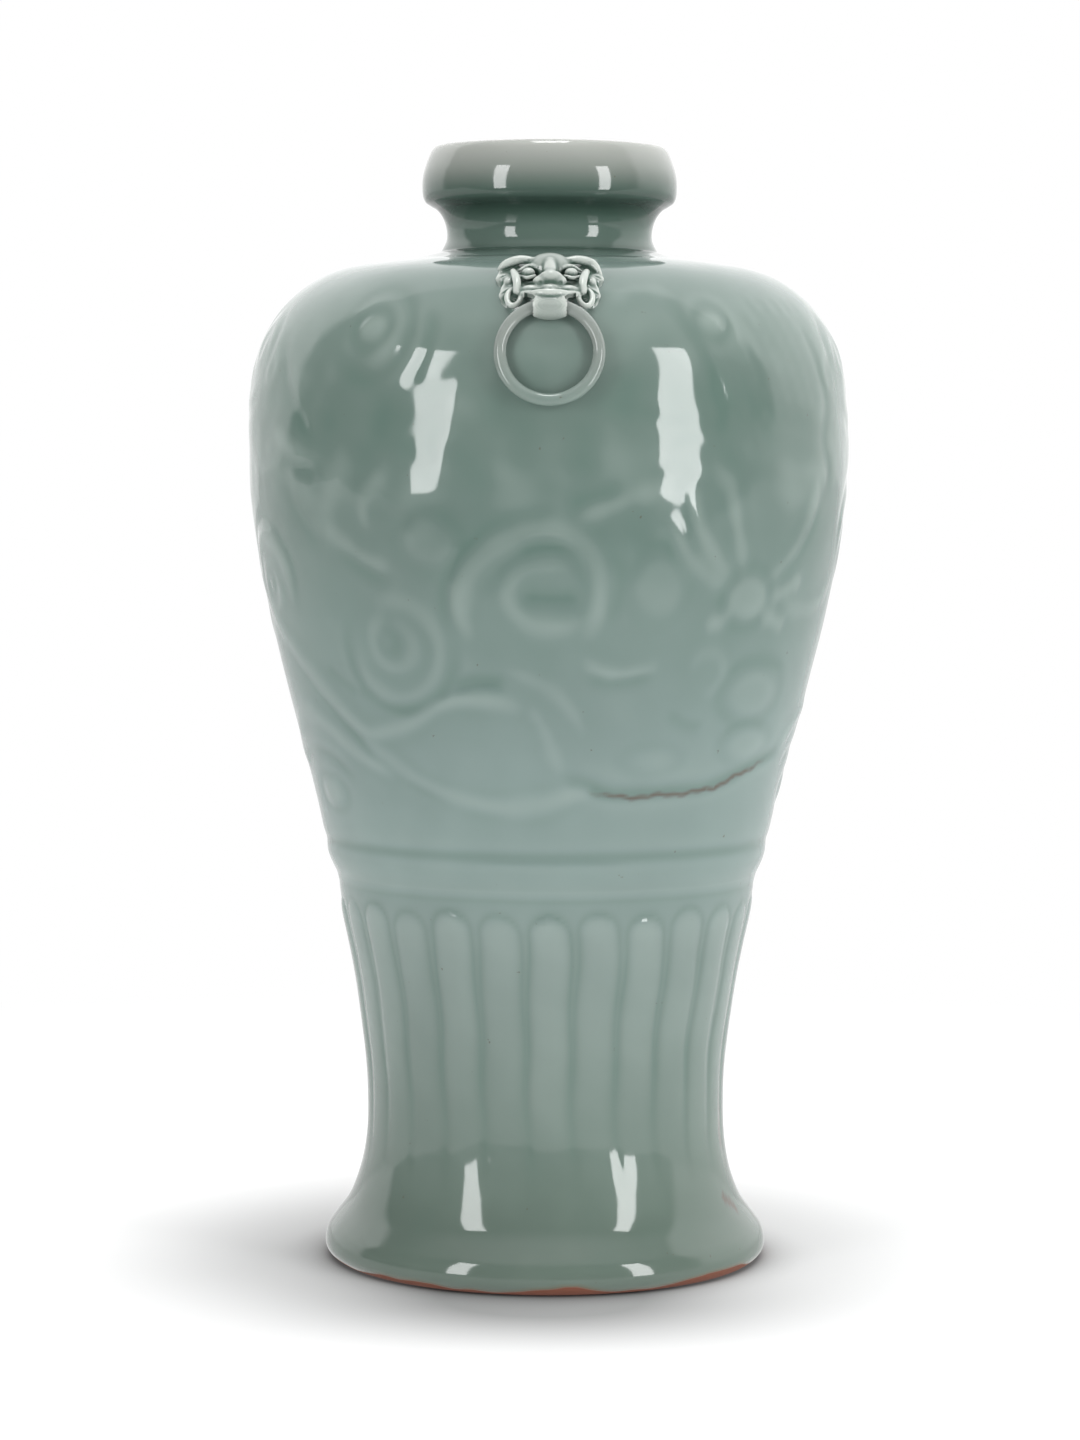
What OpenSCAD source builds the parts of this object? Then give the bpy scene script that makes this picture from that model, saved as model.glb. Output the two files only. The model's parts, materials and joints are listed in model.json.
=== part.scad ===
// Shouldered flower vase with a dished mouth, two animal masks and two loose rings.
// Millimetres, +Z up, origin at the centre of the foot on the table, front towards -Y.

/* [Foot] */
// Outer radius of the standing edge
foot_edge_r = 66.4; // [63:0.1:68]
// Radius of the foot at its widest
foot_r = 69.9; // [69:0.1:74]
// Height of the widest line of the foot
foot_wide_h = 4.6; // [3.5:0.1:7]
// Radius where the foot edge turns into the flare
foot_top_r = 68.2; // [66:0.1:68.8]
// Height of the foot edge above its widest line
foot_top_h = 5.6; // [4.5:0.1:8]
// Radius half way up the flare
flare_r = 61.3; // [60:0.1:63]
// Height of that place above the foot edge
flare_h = 10.3; // [8:0.1:14]
// Width of the ring that stands on the table
stand_w = 8; // [6:0.5:10]
// Height of the hollow under the base
hollow_h = 14; // [10:0.5:18]
// How much wider that hollow is at its top than the pocket over it
hollow_step = 2; // [1:0.5:4]
// Width of the ledge that carries the base disc
seat_w = 5; // [3:0.5:7]
// Thickness of that ledge
seat_t = 4; // [3:0.5:6]
// Thickness of the base disc
base_t = 7; // [5:0.5:9]
// Gap round the base disc
base_gap = 0.3; // [0.1:0.1:1]

/* [Leg] */
// Radius of the waist
waist_r = 56.6; // [55:0.1:59]
// Height of the waist above the middle of the flare
waist_h = 26.5; // [24:0.5:34]
// Radius near the tops of the petals
hip_r = 64.1; // [63:0.1:65]
// Height of that place above the waist
hip_h = 59; // [54:0.5:66]
// Radius just under the ledge
band_r = 66.4; // [66:0.1:67.5]
// Height of the smooth band under the ledge
band_h = 16.4; // [13:0.1:20]

/* [Petals] */
// Number of petals round the leg
petals = 26; // [18:1:32]
// Width of a petal
petal_w = 11.6; // [8:0.2:12]
// Height that a petal stands over the grooves
petal_t = 0.8; // [0.4:0.1:1.6]
// Distance of the petal tops below the ledge
petal_drop = 7; // [5:0.5:12]
// Height of the petal feet above the table
petal_foot_h = 11; // [10.5:0.5:16]

/* [Belly] */
// Radius of the edge over the ledge
edge_r = 69.2; // [68:0.1:71]
// Height of the sloping ledge
ledge_h = 6.2; // [3.5:0.1:8]
// Radius half way up the flank
flank_r = 84.4; // [82:0.2:86]
// Height of that place above the ledge
flank_h = 62.4; // [58:0.2:72]
// Largest radius of the vase
belly_r = 94.8; // [92:0.2:98]
// Height of the largest radius above the flank
belly_h = 67; // [60:0.5:74]

/* [Shoulder] */
// Radius where the shoulder turns
turn_r = 85.2; // [83.5:0.1:86.5]
// Height of the turn above the largest radius
turn_h = 39.3; // [37:0.1:43]
// Radius of the shoulder's flat top
top_r = 63.4; // [60:0.1:66]
// Height of that place above the turn
top_h = 14.6; // [13:0.1:17]

/* [Neck] */
// Radius of the foot of the neck
neck_foot_r = 34; // [33:0.1:36]
// Height of the foot of the neck above the flat top
neck_foot_h = 5.1; // [4:0.1:7]
// Radius of the neck at its narrowest
neck_r = 32.1; // [31:0.1:33]
// Height of the narrowest line above the foot of the neck
neck_h = 5; // [4:0.1:7]
// Radius at the top of the neck
neck_top_r = 35.8; // [35:0.1:37]
// Height of the top of the neck above its narrowest line
neck_top_h = 8.6; // [7:0.1:12]
// Radius of the bore through the neck
bore_r = 24.5; // [20:0.5:26]

/* [Mouth] */
// Width of the step under the lip
lip_step_w = 2.9; // [2.2:0.1:4]
// Height of the underside of the lip
lip_under_h = 1.6; // [1.2:0.1:2.4]
// How far the lip swells out over its underside
lip_swell = 1.3; // [1:0.1:3]
// Height of the largest radius above the underside
lip_wide_h = 5.6; // [5:0.1:8]
// How far the lip has come in where it turns over
lip_turn_in = 2.4; // [2:0.1:3]
// Height of that turn above the largest radius
lip_turn_h = 9.8; // [8.5:0.1:12]
// How far the crest lies inside the turn
crest_in = 2.6; // [2:0.1:3.4]
// Height of the crest of the lip above the turn
crest_h = 2.4; // [2:0.1:3]
// Width of the rim from its crest to the dish
rim_w = 5; // [4:0.2:7]
// Depth of the rim's inner round
rim_h = 4.8; // [4:0.2:6]
// Depth of the dish
dish_d = 12; // [10:0.5:14]

/* [Walls] */
// Thickness of the thrown wall
wall = 7; // [6:0.5:8]
// Height of the tongue that laps each joint
lap_h = 6; // [4:0.5:9]
// Wall of the neck's tongue in the shoulder
tongue_t = 4.5; // [3.5:0.5:6]

/* [Mask] */
// Width of an animal mask
mask_w = 37; // [34:0.5:42]
// Depth of a mask in plan, from the ring towards the neck
mask_depth = 20; // [18:0.5:24]
// Thickness of the mask's plate
mask_t = 2.4; // [1.8:0.1:3.2]

/* [Mask face] */
// Radius of the forehead
forehead_r = 7.4; // [6.8:0.1:8]
// Radius of the ridge of the nose
nose_r = 2.2; // [1.8:0.1:2.8]
// Length of the ridge of the nose
nose_l = 4.5; // [3:0.1:6]
// Width of the tip of the nose between its round ends
muzzle_l = 3.2; // [2.4:0.1:5]
// Radius of an eye
eye_r = 2.2; // [1.8:0.1:2.8]
// Radius of a brow's bar
brow_r = 1.6; // [1.2:0.1:2.2]
// Length of a brow's bar
brow_l = 7.5; // [6:0.1:9]
// Radius of an ear
ear_r = 2.6; // [2.2:0.1:3]
// Radius of a cheek
cheek_r = 3.5; // [3:0.1:4]
// Radius of the mane's last curl
curl_r = 2.2; // [1.8:0.1:2.6]
// Radius of the upper lip's bar
jowl_r = 1.5; // [1.2:0.1:1.9]
// Length of the upper lip's bar
jowl_l = 4.5; // [3.4:0.1:6]

/* [Ring] */
// Radius of the ring at the middle of its round bar
ring_r = 14.5; // [13:0.1:16]
// Diameter of the ring's bar
ring_d = 3.8; // [3.2:0.1:4.4]
// Drop from the shoulder's turn to the ring's centre when it hangs
ring_drop = 13.6; // [11.3:0.1:15.3]
// Gap between a hanging ring and the shoulder
ring_gap = 0.3; // [0.2:0.1:0.8]
// Gap between the ring and the tongue that holds it
bite_gap = 0.5; // [0.4:0.1:0.8]
// Width of the room for the bent bar on each side of the hook
bite_side = 4; // [3:0.5:6]
// Width of the tongue that hooks round the ring
hook_w = 4.8; // [4:0.2:6]
// Thickness of that tongue
hook_t = 2.4; // [2:0.1:3]

/* [Hidden] */

// Sides of the thrown pieces, the ring, the hook and the small round forms
thrown_fn = 144;
ring_fn = 96;
hook_fn = 64;
small_fn = 48;

celadon = [0.56, 0.66, 0.62];
pale_celadon = [0.68, 0.76, 0.72];
brown_celadon = [0.55, 0.57, 0.52];
biscuit = [0.66, 0.38, 0.24];

// Largest distance between a curved outline and its straight steps
curve_tol = 0.04;

// Radii round the mouth
lip_under_r = neck_top_r + lip_step_w;
lip_r = lip_under_r + lip_swell;
lip_turn_r = lip_r - lip_turn_in;
crest_r = lip_turn_r - crest_in;
dish_r = crest_r - rim_w;

// Heights above the table
foot_wide_z = foot_wide_h;
foot_top_z = foot_wide_z + foot_top_h;
flare_z = foot_top_z + flare_h;
waist_z = flare_z + waist_h;
hip_z = waist_z + hip_h;
ledge_z = hip_z + band_h;
edge_z = ledge_z + ledge_h;
flank_z = ledge_z + ledge_h + flank_h;
belly_z = flank_z + belly_h;
turn_z = belly_z + turn_h;
ring_z = turn_z - ring_drop;
top_z = turn_z + top_h;
neck_foot_z = top_z + neck_foot_h;
neck_z = neck_foot_z + neck_h;
neck_top_z = neck_z + neck_top_h;
lip_under_z = neck_top_z + lip_under_h;
lip_wide_z = lip_under_z + lip_wide_h;
lip_turn_z = lip_wide_z + lip_turn_h;
crest_z = lip_turn_z + crest_h;

// The outline is a chain of stations [radius, height, lean below, lean above].
// A lean is the outline's direction there: 0 outwards, 90 straight up, 180 inwards.
upright = 90;
level = 180;
plumb = 270;
dish_lean = 205;
foot_edge = [foot_edge_r, 0, 0, 25];
foot_wide = [foot_r, foot_wide_z, upright, upright];
foot_top = [foot_top_r, foot_top_z, 125, 127];
flare = [flare_r, flare_z, 112, 112];
waist = [waist_r, waist_z, upright, upright];
hip = [hip_r, hip_z, 77.5, 77.5];
band = [band_r, ledge_z, 86, 62];
edge = [edge_r, edge_z, 72, 79];
flank = [flank_r, flank_z, 76.2, 76.2];
belly = [belly_r, belly_z, upright, upright];
turn = [turn_r, turn_z, 126.4, 126.4];
top = [top_r, top_z, 167, 167];
neck_foot = [neck_foot_r, neck_foot_z, 163, 118];
neck_waist = [neck_r, neck_z, upright, upright];
neck_top = [neck_top_r, neck_top_z, 40, 20];
lip_under = [lip_under_r, lip_under_z, 25, 50];
lip_wide = [lip_r, lip_wide_z, upright, upright];
lip_turn = [lip_turn_r, lip_turn_z, 112, 112];
crest = [crest_r, crest_z, level, level];

foot_line = [foot_edge, foot_wide, foot_top, flare, waist, hip, band];
body_line = [band, edge, flank];
shoulder_line = [flank, belly, turn, top, neck_foot];
neck_line = [neck_foot, neck_waist, neck_top, lip_under, lip_wide, lip_turn, crest];

function dir(a) = [cos(a), sin(a)];
function angle_of(v) = atan2(v[1], v[0]);
function signed(a) = a - 360 * round(a / 360);
function spot(s) = [s[0], s[1]];

// Length of the equal end tangents of the two arcs that join p to q
function reach(p, a, q, b) =
    let (v = q - p, vt = v * (dir(a) + dir(b)), k = 2 * (1 - cos(b - a)))
    k < 0.000001 ? v * v / (2 * vt) : (sqrt(vt * vt + k * (v * v)) - vt) / k;

// Points of the arc that leaves p in the direction a and ends at q, without p
function arc(p, a, q) =
    let (
        chord = norm(q - p),
        half = signed(angle_of(q - p) - a),
        flat = abs(half) < 0.05,
        bend_r = flat ? chord : chord / (2 * abs(sin(half))),
        step = 2 * acos(max(0.9, 1 - curve_tol / bend_r)),
        n = flat ? 1 : ceil(2 * abs(half) / step)
    )
    [for (i = [1 : n])
        let (t = i / n)
        p + chord * (flat ? t : sin(half * t) / sin(half)) * dir(a + half * t)];

// Two tangent arcs from station s to station e, without the first point
function span(s, e) =
    let (
        p = spot(s),
        q = spot(e),
        d = reach(p, s[3], q, e[2]),
        p_end = p + d * dir(s[3]),
        q_end = q - d * dir(e[2]),
        middle = (p_end + q_end) / 2
    )
    concat(arc(p, s[3], middle), arc(middle, angle_of(q_end - p_end), q));

function outline(stations) =
    [spot(stations[0]), for (i = [1 : len(stations) - 1]) each span(stations[i - 1], stations[i])];

// The station moved inwards by t, at right angles to the outline
function inner(s, t) = [s[0] - t * sin(s[2]), s[1] + t * cos(s[2]), s[2], s[2]];

function reversed(points) = [for (i = [len(points) - 1 : -1 : 0]) points[i]];

// Radius at a height, or height at a radius, along a list of points
function r_at(points, z) = lookup(z, [for (p = points) [p[1], p[0]]]);
function z_at(points, r) = lookup(r, [for (p = points) [p[0], p[1]]]);

// The stretch of an inner line between two heights
function between(points, low, high) = concat(
    [[r_at(points, low), low]],
    [for (p = points) if (p[1] > low + 0.1 && p[1] < high - 0.1) p],
    [[r_at(points, high), high]]
);

// Inside of the wall, from the base disc to the neck
pocket_r = waist_r - wall;
seat_z = hollow_h + seat_t;
inside = concat(
    [[pocket_r, seat_z]],
    outline([for (s = [waist, hip, flank, belly, turn, top, neck_foot]) inner(s, wall)])
);
ceiling_z = neck_foot_z - wall;

// Middle of the wall at a joint, where the tongue's outer face stands
function lap_r(s) = s[0] - wall / 2;

shoulder_points = outline(shoulder_line);
over_ring_points = [for (p = reversed(shoulder_points)) if (p[1] >= ring_z) p];

// Lean of the shoulder at a height, from two near points of its outline
lean_step = 2;
function lean_at(z) = angle_of([
    r_at(shoulder_points, z + lean_step) - r_at(shoulder_points, z - lean_step),
    2 * lean_step
]);

// Where a ring hangs: it touches the round shoulder at its two sides
ring_tube_r = ring_d / 2;
ring_seat_r = r_at(shoulder_points, ring_z);
ring_lean = lean_at(ring_z);
side_fall = ring_seat_r - sqrt(ring_seat_r * ring_seat_r - ring_r * ring_r);
ring_off = ring_tube_r + ring_gap - side_fall * sin(ring_lean);
ring_centre = [ring_seat_r, ring_z] + ring_off * dir(ring_lean - upright);
pivot = ring_centre + ring_r * dir(ring_lean);

module thrown(points) {
    rotate_extrude($fn = thrown_fn) polygon(points);
}

// Leg and foot

// Radius inside the standing ring, at the table and under the ledge
stand_in_r = foot_edge_r - stand_w;
hollow_top_r = pocket_r + hollow_step;

module leg_wall() {
    tongue_top_z = ledge_z + lap_h;
    thrown(concat(
        outline(foot_line),
        [[lap_r(band), ledge_z], [lap_r(band), tongue_top_z]],
        reversed(between(inside, seat_z, tongue_top_z)),
        [
            [pocket_r - seat_w, seat_z],
            [pocket_r - seat_w, hollow_h],
            [hollow_top_r, hollow_h],
            [stand_in_r, 0],
        ]
    ));
}

// Outline moved outwards
function moved(stations, t) = outline([for (s = stations) inner(s, -t)]);

// Petals: strips that stand over the grooves, each with a round top
petal_top_z = ledge_z - petal_drop;
petal_arch_z = petal_top_z - petal_w / 2;
petal_root = 1;
petal_line = [[foot_top[0], foot_top[1], foot_top[3], foot_top[3]], flare, waist, hip, band];
petal_face = moved(petal_line, petal_t);
petal_back = moved(petal_line, -petal_root);
petal_angle = 2 * asin(petal_w / 2 / hip_r);

module petal() {
    rotate([0, 0, -upright - petal_angle / 2]) rotate_extrude(angle = petal_angle, $fn = thrown_fn)
        polygon(concat(
            between(petal_face, petal_foot_h, petal_arch_z),
            reversed(between(petal_back, petal_foot_h, petal_arch_z))
        ));
    translate([0, -r_at(petal_back, petal_arch_z), petal_arch_z]) rotate([level - hip[2], 0, 0])
        cylinder(r = petal_w / 2, h = petal_t + petal_root, $fn = small_fn);
}

module foot_section() {
    color(pale_celadon) union() {
        leg_wall();
        for (i = [0 : petals - 1]) rotate([0, 0, i * 360 / petals]) petal();
    }
}

module base_disc() {
    color(biscuit)
        translate([0, 0, seat_z]) cylinder(h = base_t, r = pocket_r - base_gap, $fn = thrown_fn);
}

// Belly and shoulder

module body_section() {
    low_lap_z = ledge_z + lap_h;
    tongue_top_z = flank_z + lap_h;
    color(celadon) thrown(concat(
        outline(body_line),
        [[lap_r(flank), flank_z], [lap_r(flank), tongue_top_z]],
        reversed(between(inside, low_lap_z, tongue_top_z)),
        [[lap_r(band), low_lap_z], [lap_r(band), ledge_z]]
    ));
}

tongue_r = bore_r + tongue_t;

module shoulder_section() {
    low_lap_z = flank_z + lap_h;
    color(celadon) thrown(concat(
        shoulder_points,
        [[tongue_r, neck_foot_z], [tongue_r, ceiling_z]],
        reversed(between(inside, low_lap_z, ceiling_z)),
        [[lap_r(flank), low_lap_z], [lap_r(flank), flank_z]]
    ));
}

// Neck and mouth

dish_z = crest_z - dish_d;
bore_top_z = dish_z - (dish_r - bore_r) / 2;

module mouth_and_neck() {
    rim = [dish_r, crest_z - rim_h, plumb, plumb];
    dish_foot = [(dish_r + bore_r) / 2, dish_z, dish_lean, dish_lean];
    bore_top = [bore_r, bore_top_z, plumb, plumb];
    color(brown_celadon) thrown(concat(
        outline(concat(neck_line, [rim, dish_foot, bore_top])),
        [[bore_r, ceiling_z], [tongue_r, ceiling_z], [tongue_r, neck_foot_z]]
    ));
}

// Masks

// Puts its children on the shoulder: across to the right, at a distance from the vase's
// axis and at a height over the clay, with +Z out of the clay and +Y up the shoulder
module on_shoulder(across, r, over_clay) {
    z = z_at(over_ring_points, r);
    lean = lean_at(z);
    spin = across / r * 180 / PI;
    place = [r, z] + over_clay * dir(lean - upright);
    rotate([0, 0, spin])
        translate([0, -place[0], place[1]])
            rotate([level - lean, 0, 0])
                children();
}

module ball(across, r, over_clay, size) {
    on_shoulder(across, r, over_clay) sphere(r = size, $fn = small_fn);
}

// A rounded bar from one place on the shoulder, at an angle to the level
module bar(across, r, over_clay, size, length, tilt) {
    on_shoulder(across, r, over_clay) rotate([0, 0, tilt]) rotate([0, upright, 0]) {
        cylinder(r = size, h = length, center = true, $fn = small_fn);
        for (end = [-1, 1]) translate([0, 0, end * length / 2]) sphere(r = size, $fn = small_fn);
    }
}

// The mask ends just over the ring's bar, and a share of its depth counts from there
mask_clear = 0.5;
mask_low_r = pivot[0] - ring_tube_r - bite_gap - mask_clear;
half_w = mask_w / 2;

// Places on the mask: share of its half width, share of its depth
forehead_at = [0, 0.5];
nose_at = [0, 0.32];
muzzle_at = [0, 0.18];
eye_at = [0.32, 0.4];
brow_at = [0.5, 0.62];
ear_at = [0.76, 0.74];
cheek_at = [0.57, 0.3];
curl_at = [0.54, 0.1];
jowl_at = [0.29, 0.1];
mane_at = [[1, 0.28], [1, 0.62], [0.66, 0.82]];

// Radius of the mane's scallops as a share of the mask's depth
mane_share = 0.27;
// Tilt of a brow and of the upper lip
brow_tilt = 10;

function up(share) = mask_low_r - share * mask_depth;

// Plan of the mask's plate: a face with a scalloped mane
module mask_plan() {
    mane_r = mask_depth * mane_share;
    translate([0, -up(0.5)]) circle(r = mask_depth / 2, $fn = ring_fn);
    for (side = [-1, 1], at = mane_at) {
        translate([side * (half_w - mane_r) * at[0], -up(at[1])]) circle(r = mane_r, $fn = ring_fn);
    }
}

module mask_plate() {
    intersection() {
        thrown(concat(
            moved(shoulder_line, mask_t),
            [[0, neck_foot_z + mask_t], [0, belly_z]]
        ));
        translate([0, 0, ring_z]) linear_extrude(height = crest_z - ring_z) mask_plan();
    }
}

// Forehead, nose, eyes, brows, ears, cheeks, last curls and upper lip. Each form stands over
// the clay by the plate and a part of its own radius
module mask_face() {
    ball(0, up(forehead_at[1]), mask_t - forehead_r / 2, forehead_r);
    bar(0, up(nose_at[1]), mask_t + 0.7 * nose_r, nose_r, nose_l, upright);
    bar(0, up(muzzle_at[1]), mask_t + nose_r / 2, nose_r, muzzle_l, 0);
    for (side = [-1, 1]) {
        ball(side * half_w * eye_at[0], up(eye_at[1]), mask_t + 0.4 * eye_r, eye_r);
        bar(
            side * half_w * brow_at[0], up(brow_at[1]), mask_t + 0.6 * brow_r,
            brow_r, brow_l, side * brow_tilt
        );
        ball(side * half_w * ear_at[0], up(ear_at[1]), mask_t, ear_r);
        ball(side * half_w * cheek_at[0], up(cheek_at[1]), mask_t, cheek_r);
        ball(side * half_w * curl_at[0], up(curl_at[1]), mask_t, curl_r);
        bar(
            side * half_w * jowl_at[0], up(jowl_at[1]), mask_t + 0.4 * jowl_r,
            jowl_r, jowl_l, -side * brow_tilt
        );
    }
}

// Puts its children at the ring's pivot, with +Z along the pivot's axis towards -X, +X
// along the hanging ring and turning outwards with the ring
module at_pivot() {
    translate([0, -pivot[0], pivot[1]])
        rotate([-(ring_lean - upright), 0, 0])
            rotate([0, upright, 0])
                children();
}

// The tongue hooks round the bar of the ring and runs back into the clay
module tongue() {
    at_pivot() cylinder(r = ring_tube_r + bite_gap + hook_t, h = hook_w, center = true, $fn = hook_fn);
}

// Room for the ring's bent bar in the tongue, at every angle of the ring
module bite() {
    steps = 8;
    reach_x = hook_w / 2 + bite_side;
    at_pivot() rotate_extrude($fn = hook_fn) polygon(concat(
        [[0, -reach_x]],
        [for (i = [-steps : steps])
            let (x = reach_x * i / steps)
            [ring_tube_r + bite_gap + ring_r - sqrt(ring_r * ring_r - x * x), x]],
        [[0, reach_x]]
    ));
}

module mask() {
    color(pale_celadon) difference() {
        union() {
            mask_plate();
            mask_face();
            tongue();
        }
        thrown(concat([[0, 0], [flank_r, 0]], shoulder_points, [[0, neck_foot_z]]));
        bite();
    }
}

module front_mask() {
    mask();
}

module rear_mask() {
    rotate([0, 0, 180]) mask();
}

// Rings

module ring() {
    color(pale_celadon)
        translate([0, -ring_centre[0], ring_centre[1]])
            rotate([-(ring_lean - upright), 0, 0])
                rotate([upright, 0, 0])
                    rotate_extrude($fn = ring_fn)
                        translate([ring_r, 0]) circle(r = ring_tube_r, $fn = small_fn);
}

module front_ring() {
    ring();
}

module rear_ring() {
    rotate([0, 0, 180]) ring();
}

mouth_and_neck();
shoulder_section();
body_section();
foot_section();
base_disc();
front_mask();
rear_mask();
front_ring();
rear_ring();
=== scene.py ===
import json
import math

import bpy
import numpy as np
from mathutils import Matrix, Vector


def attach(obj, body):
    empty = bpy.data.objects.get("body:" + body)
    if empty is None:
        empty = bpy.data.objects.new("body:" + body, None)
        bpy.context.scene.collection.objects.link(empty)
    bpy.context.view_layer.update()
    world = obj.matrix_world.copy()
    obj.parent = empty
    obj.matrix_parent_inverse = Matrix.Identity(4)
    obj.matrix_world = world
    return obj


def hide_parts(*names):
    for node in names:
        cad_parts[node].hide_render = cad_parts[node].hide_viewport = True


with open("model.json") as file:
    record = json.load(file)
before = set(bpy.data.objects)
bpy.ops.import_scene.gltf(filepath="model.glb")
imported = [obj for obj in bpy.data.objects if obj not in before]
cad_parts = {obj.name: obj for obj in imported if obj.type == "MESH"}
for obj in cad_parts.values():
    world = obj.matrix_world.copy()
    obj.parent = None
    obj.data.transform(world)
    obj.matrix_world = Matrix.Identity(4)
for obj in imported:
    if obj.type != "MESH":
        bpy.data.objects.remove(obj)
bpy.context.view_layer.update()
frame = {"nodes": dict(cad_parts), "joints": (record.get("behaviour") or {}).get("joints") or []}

# Sizes are in millimetres on the clay and become metres in the meshes
MM = 0.001


def smooth_mesh(name, points, faces):
    """A smooth mesh from points in metres and faces of four."""
    mesh = bpy.data.meshes.new(name)
    mesh.from_pydata(points.tolist(), [], faces.tolist())
    mesh.polygons.foreach_set("use_smooth", np.ones(len(faces), bool))
    return mesh


def give(mesh, name, values):
    """Gives each point of a mesh a number that its material reads."""
    attribute = mesh.attributes.new(name, "FLOAT", "POINT")
    attribute.data.foreach_set("value", values.astype(np.float32))


def placed(name, data):
    """A new object in the scene."""
    thing = bpy.data.objects.new(name, data)
    bpy.context.scene.collection.objects.link(thing)
    return thing



# The outline as a chain of stations: radius, height, lean below and lean above.
# A lean is the outline's direction there: 0 outwards, 90 straight up, 180 inwards.
foot_edge = (66.4, 0.0, 0, 25)
foot_wide = (69.9, 4.6, 90, 90)
foot_top = (68.2, 10.2, 125, 127)
flare = (61.3, 20.5, 112, 112)
waist = (56.6, 47.0, 90, 90)
hip = (64.1, 106.0, 77.5, 77.5)
band = (66.4, 122.4, 86, 62)
edge = (69.2, 128.6, 72, 79)
flank = (84.4, 191.0, 76.2, 76.2)
belly = (94.8, 258.0, 90, 90)
turn = (85.2, 297.3, 126.4, 126.4)
top = (63.4, 311.9, 167, 167)
neck_foot = (34.0, 317.0, 163, 118)
neck_waist = (32.1, 322.0, 90, 90)
neck_top = (35.8, 330.6, 40, 20)
lip_under = (38.7, 332.2, 25, 50)
lip_wide = (40.0, 337.8, 90, 90)
lip_turn = (37.6, 347.6, 112, 112)
crest = (35.0, 350.0, 180, 180)
rim = (30.0, 345.2, 270, 270)
dish_foot = (27.25, 338.0, 205, 205)
bore_top = (24.5, 335.25, 270, 270)
OUTLINE = [
    foot_edge, foot_wide, foot_top, flare, waist, hip, band, edge, flank, belly, turn, top,
    neck_foot, neck_waist, neck_top, lip_under, lip_wide, lip_turn, crest, rim, dish_foot, bore_top,
]

WALL = 7.0
PETALS = 26
COLUMNS = PETALS * 24


# Outline

def heading(degrees):
    a = math.radians(degrees)
    return np.array([math.cos(a), math.sin(a)])


def arc(p, a, q, step=0.1):
    """Points of the arc that leaves p in the direction a and ends at q, without p."""
    chord = q - p
    length = float(np.hypot(*chord))
    half = math.atan2(chord[1], chord[0]) - math.radians(a)
    half = (half + math.pi) % (2 * math.pi) - math.pi
    count = max(1, int(math.ceil(length / step)))
    t = np.arange(1, count + 1) / count
    along = t if abs(half) < 1e-4 else np.sin(half * t) / math.sin(half)
    turn_by = math.radians(a) + half * t
    return p + (length * along)[:, None] * np.stack([np.cos(turn_by), np.sin(turn_by)], 1)


def span(start, end):
    """Two tangent arcs from one station to the next, without the first point."""
    p, q = np.array(start[:2]), np.array(end[:2])
    a, b = heading(start[3]), heading(end[2])
    v = q - p
    vt = float(v @ (a + b))
    k = 2 * (1 - math.cos(math.radians(end[2] - start[3])))
    d = float(v @ v) / (2 * vt) if k < 1e-6 else (math.sqrt(vt * vt + k * float(v @ v)) - vt) / k
    p_end, q_end = p + d * a, q - d * b
    middle = (p_end + q_end) / 2
    lean = math.degrees(math.atan2(*(q_end - p_end)[::-1]))
    return np.concatenate([arc(p, start[3], middle), arc(middle, lean, q)])


def line_through(stations):
    parts = [np.array([stations[0][:2]])]
    parts += [span(s, e) for s, e in zip(stations[:-1], stations[1:])]
    return np.concatenate(parts)


def lengths_along(points):
    return np.concatenate([[0], np.cumsum(np.hypot(*np.diff(points, axis=0).T))])


def blurred(values, sigma, axis=0):
    """Values smoothed by a Gaussian of so many steps, with the ends held."""
    reach = int(math.ceil(3 * sigma))
    kernel = np.exp(-0.5 * (np.arange(-reach, reach + 1) / sigma) ** 2)
    kernel /= kernel.sum()
    moved = np.moveaxis(values, axis, 0)
    padded = np.concatenate([np.repeat(moved[:1], reach, 0), moved, np.repeat(moved[-1:], reach, 0)])
    out = sum(k * padded[i:i + len(moved)] for i, k in enumerate(kernel))
    return np.moveaxis(out, 0, axis)


class Line:
    """The outer line of the vase, with the glaze's soft corners, by length along it."""

    def __init__(self, stations, softness):
        raw = line_through(stations)
        s = lengths_along(raw)
        self.step = 0.1
        self.s = np.arange(0, s[-1], self.step)
        even = np.stack([np.interp(self.s, s, raw[:, i]) for i in range(2)], 1)
        even[:, 0] = blurred(even[:, 0], softness / self.step)
        even[:, 1] = blurred(even[:, 1], softness / self.step)
        self.points = even
        self.raw_s = s
        self.raw = raw

    def at(self, s):
        return np.stack([np.interp(s, self.s, self.points[:, i]) for i in range(2)], -1)

    def near(self, station):
        """Length along the line at a station."""
        return float(self.raw_s[np.argmin(np.hypot(*(self.raw - np.array(station[:2])).T))])


LINE = Line(OUTLINE, 0.45)


def graded(start, end, spacing, fine_at=(), fine=0.35, reach=2.5):
    """Lengths from start to end, close together near the places in fine_at."""
    s = np.linspace(start, end, 4000)
    gap = np.full_like(s, spacing)
    for place in fine_at:
        near = np.exp(-(((s - place) / reach) ** 2))
        gap = np.minimum(gap, spacing + (fine - spacing) * near)
    count = np.concatenate([[0], np.cumsum(np.diff(s) / gap[1:])])
    steps = max(2, int(round(count[-1])))
    return np.interp(np.linspace(0, count[-1], steps + 1), count, s)


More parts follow.
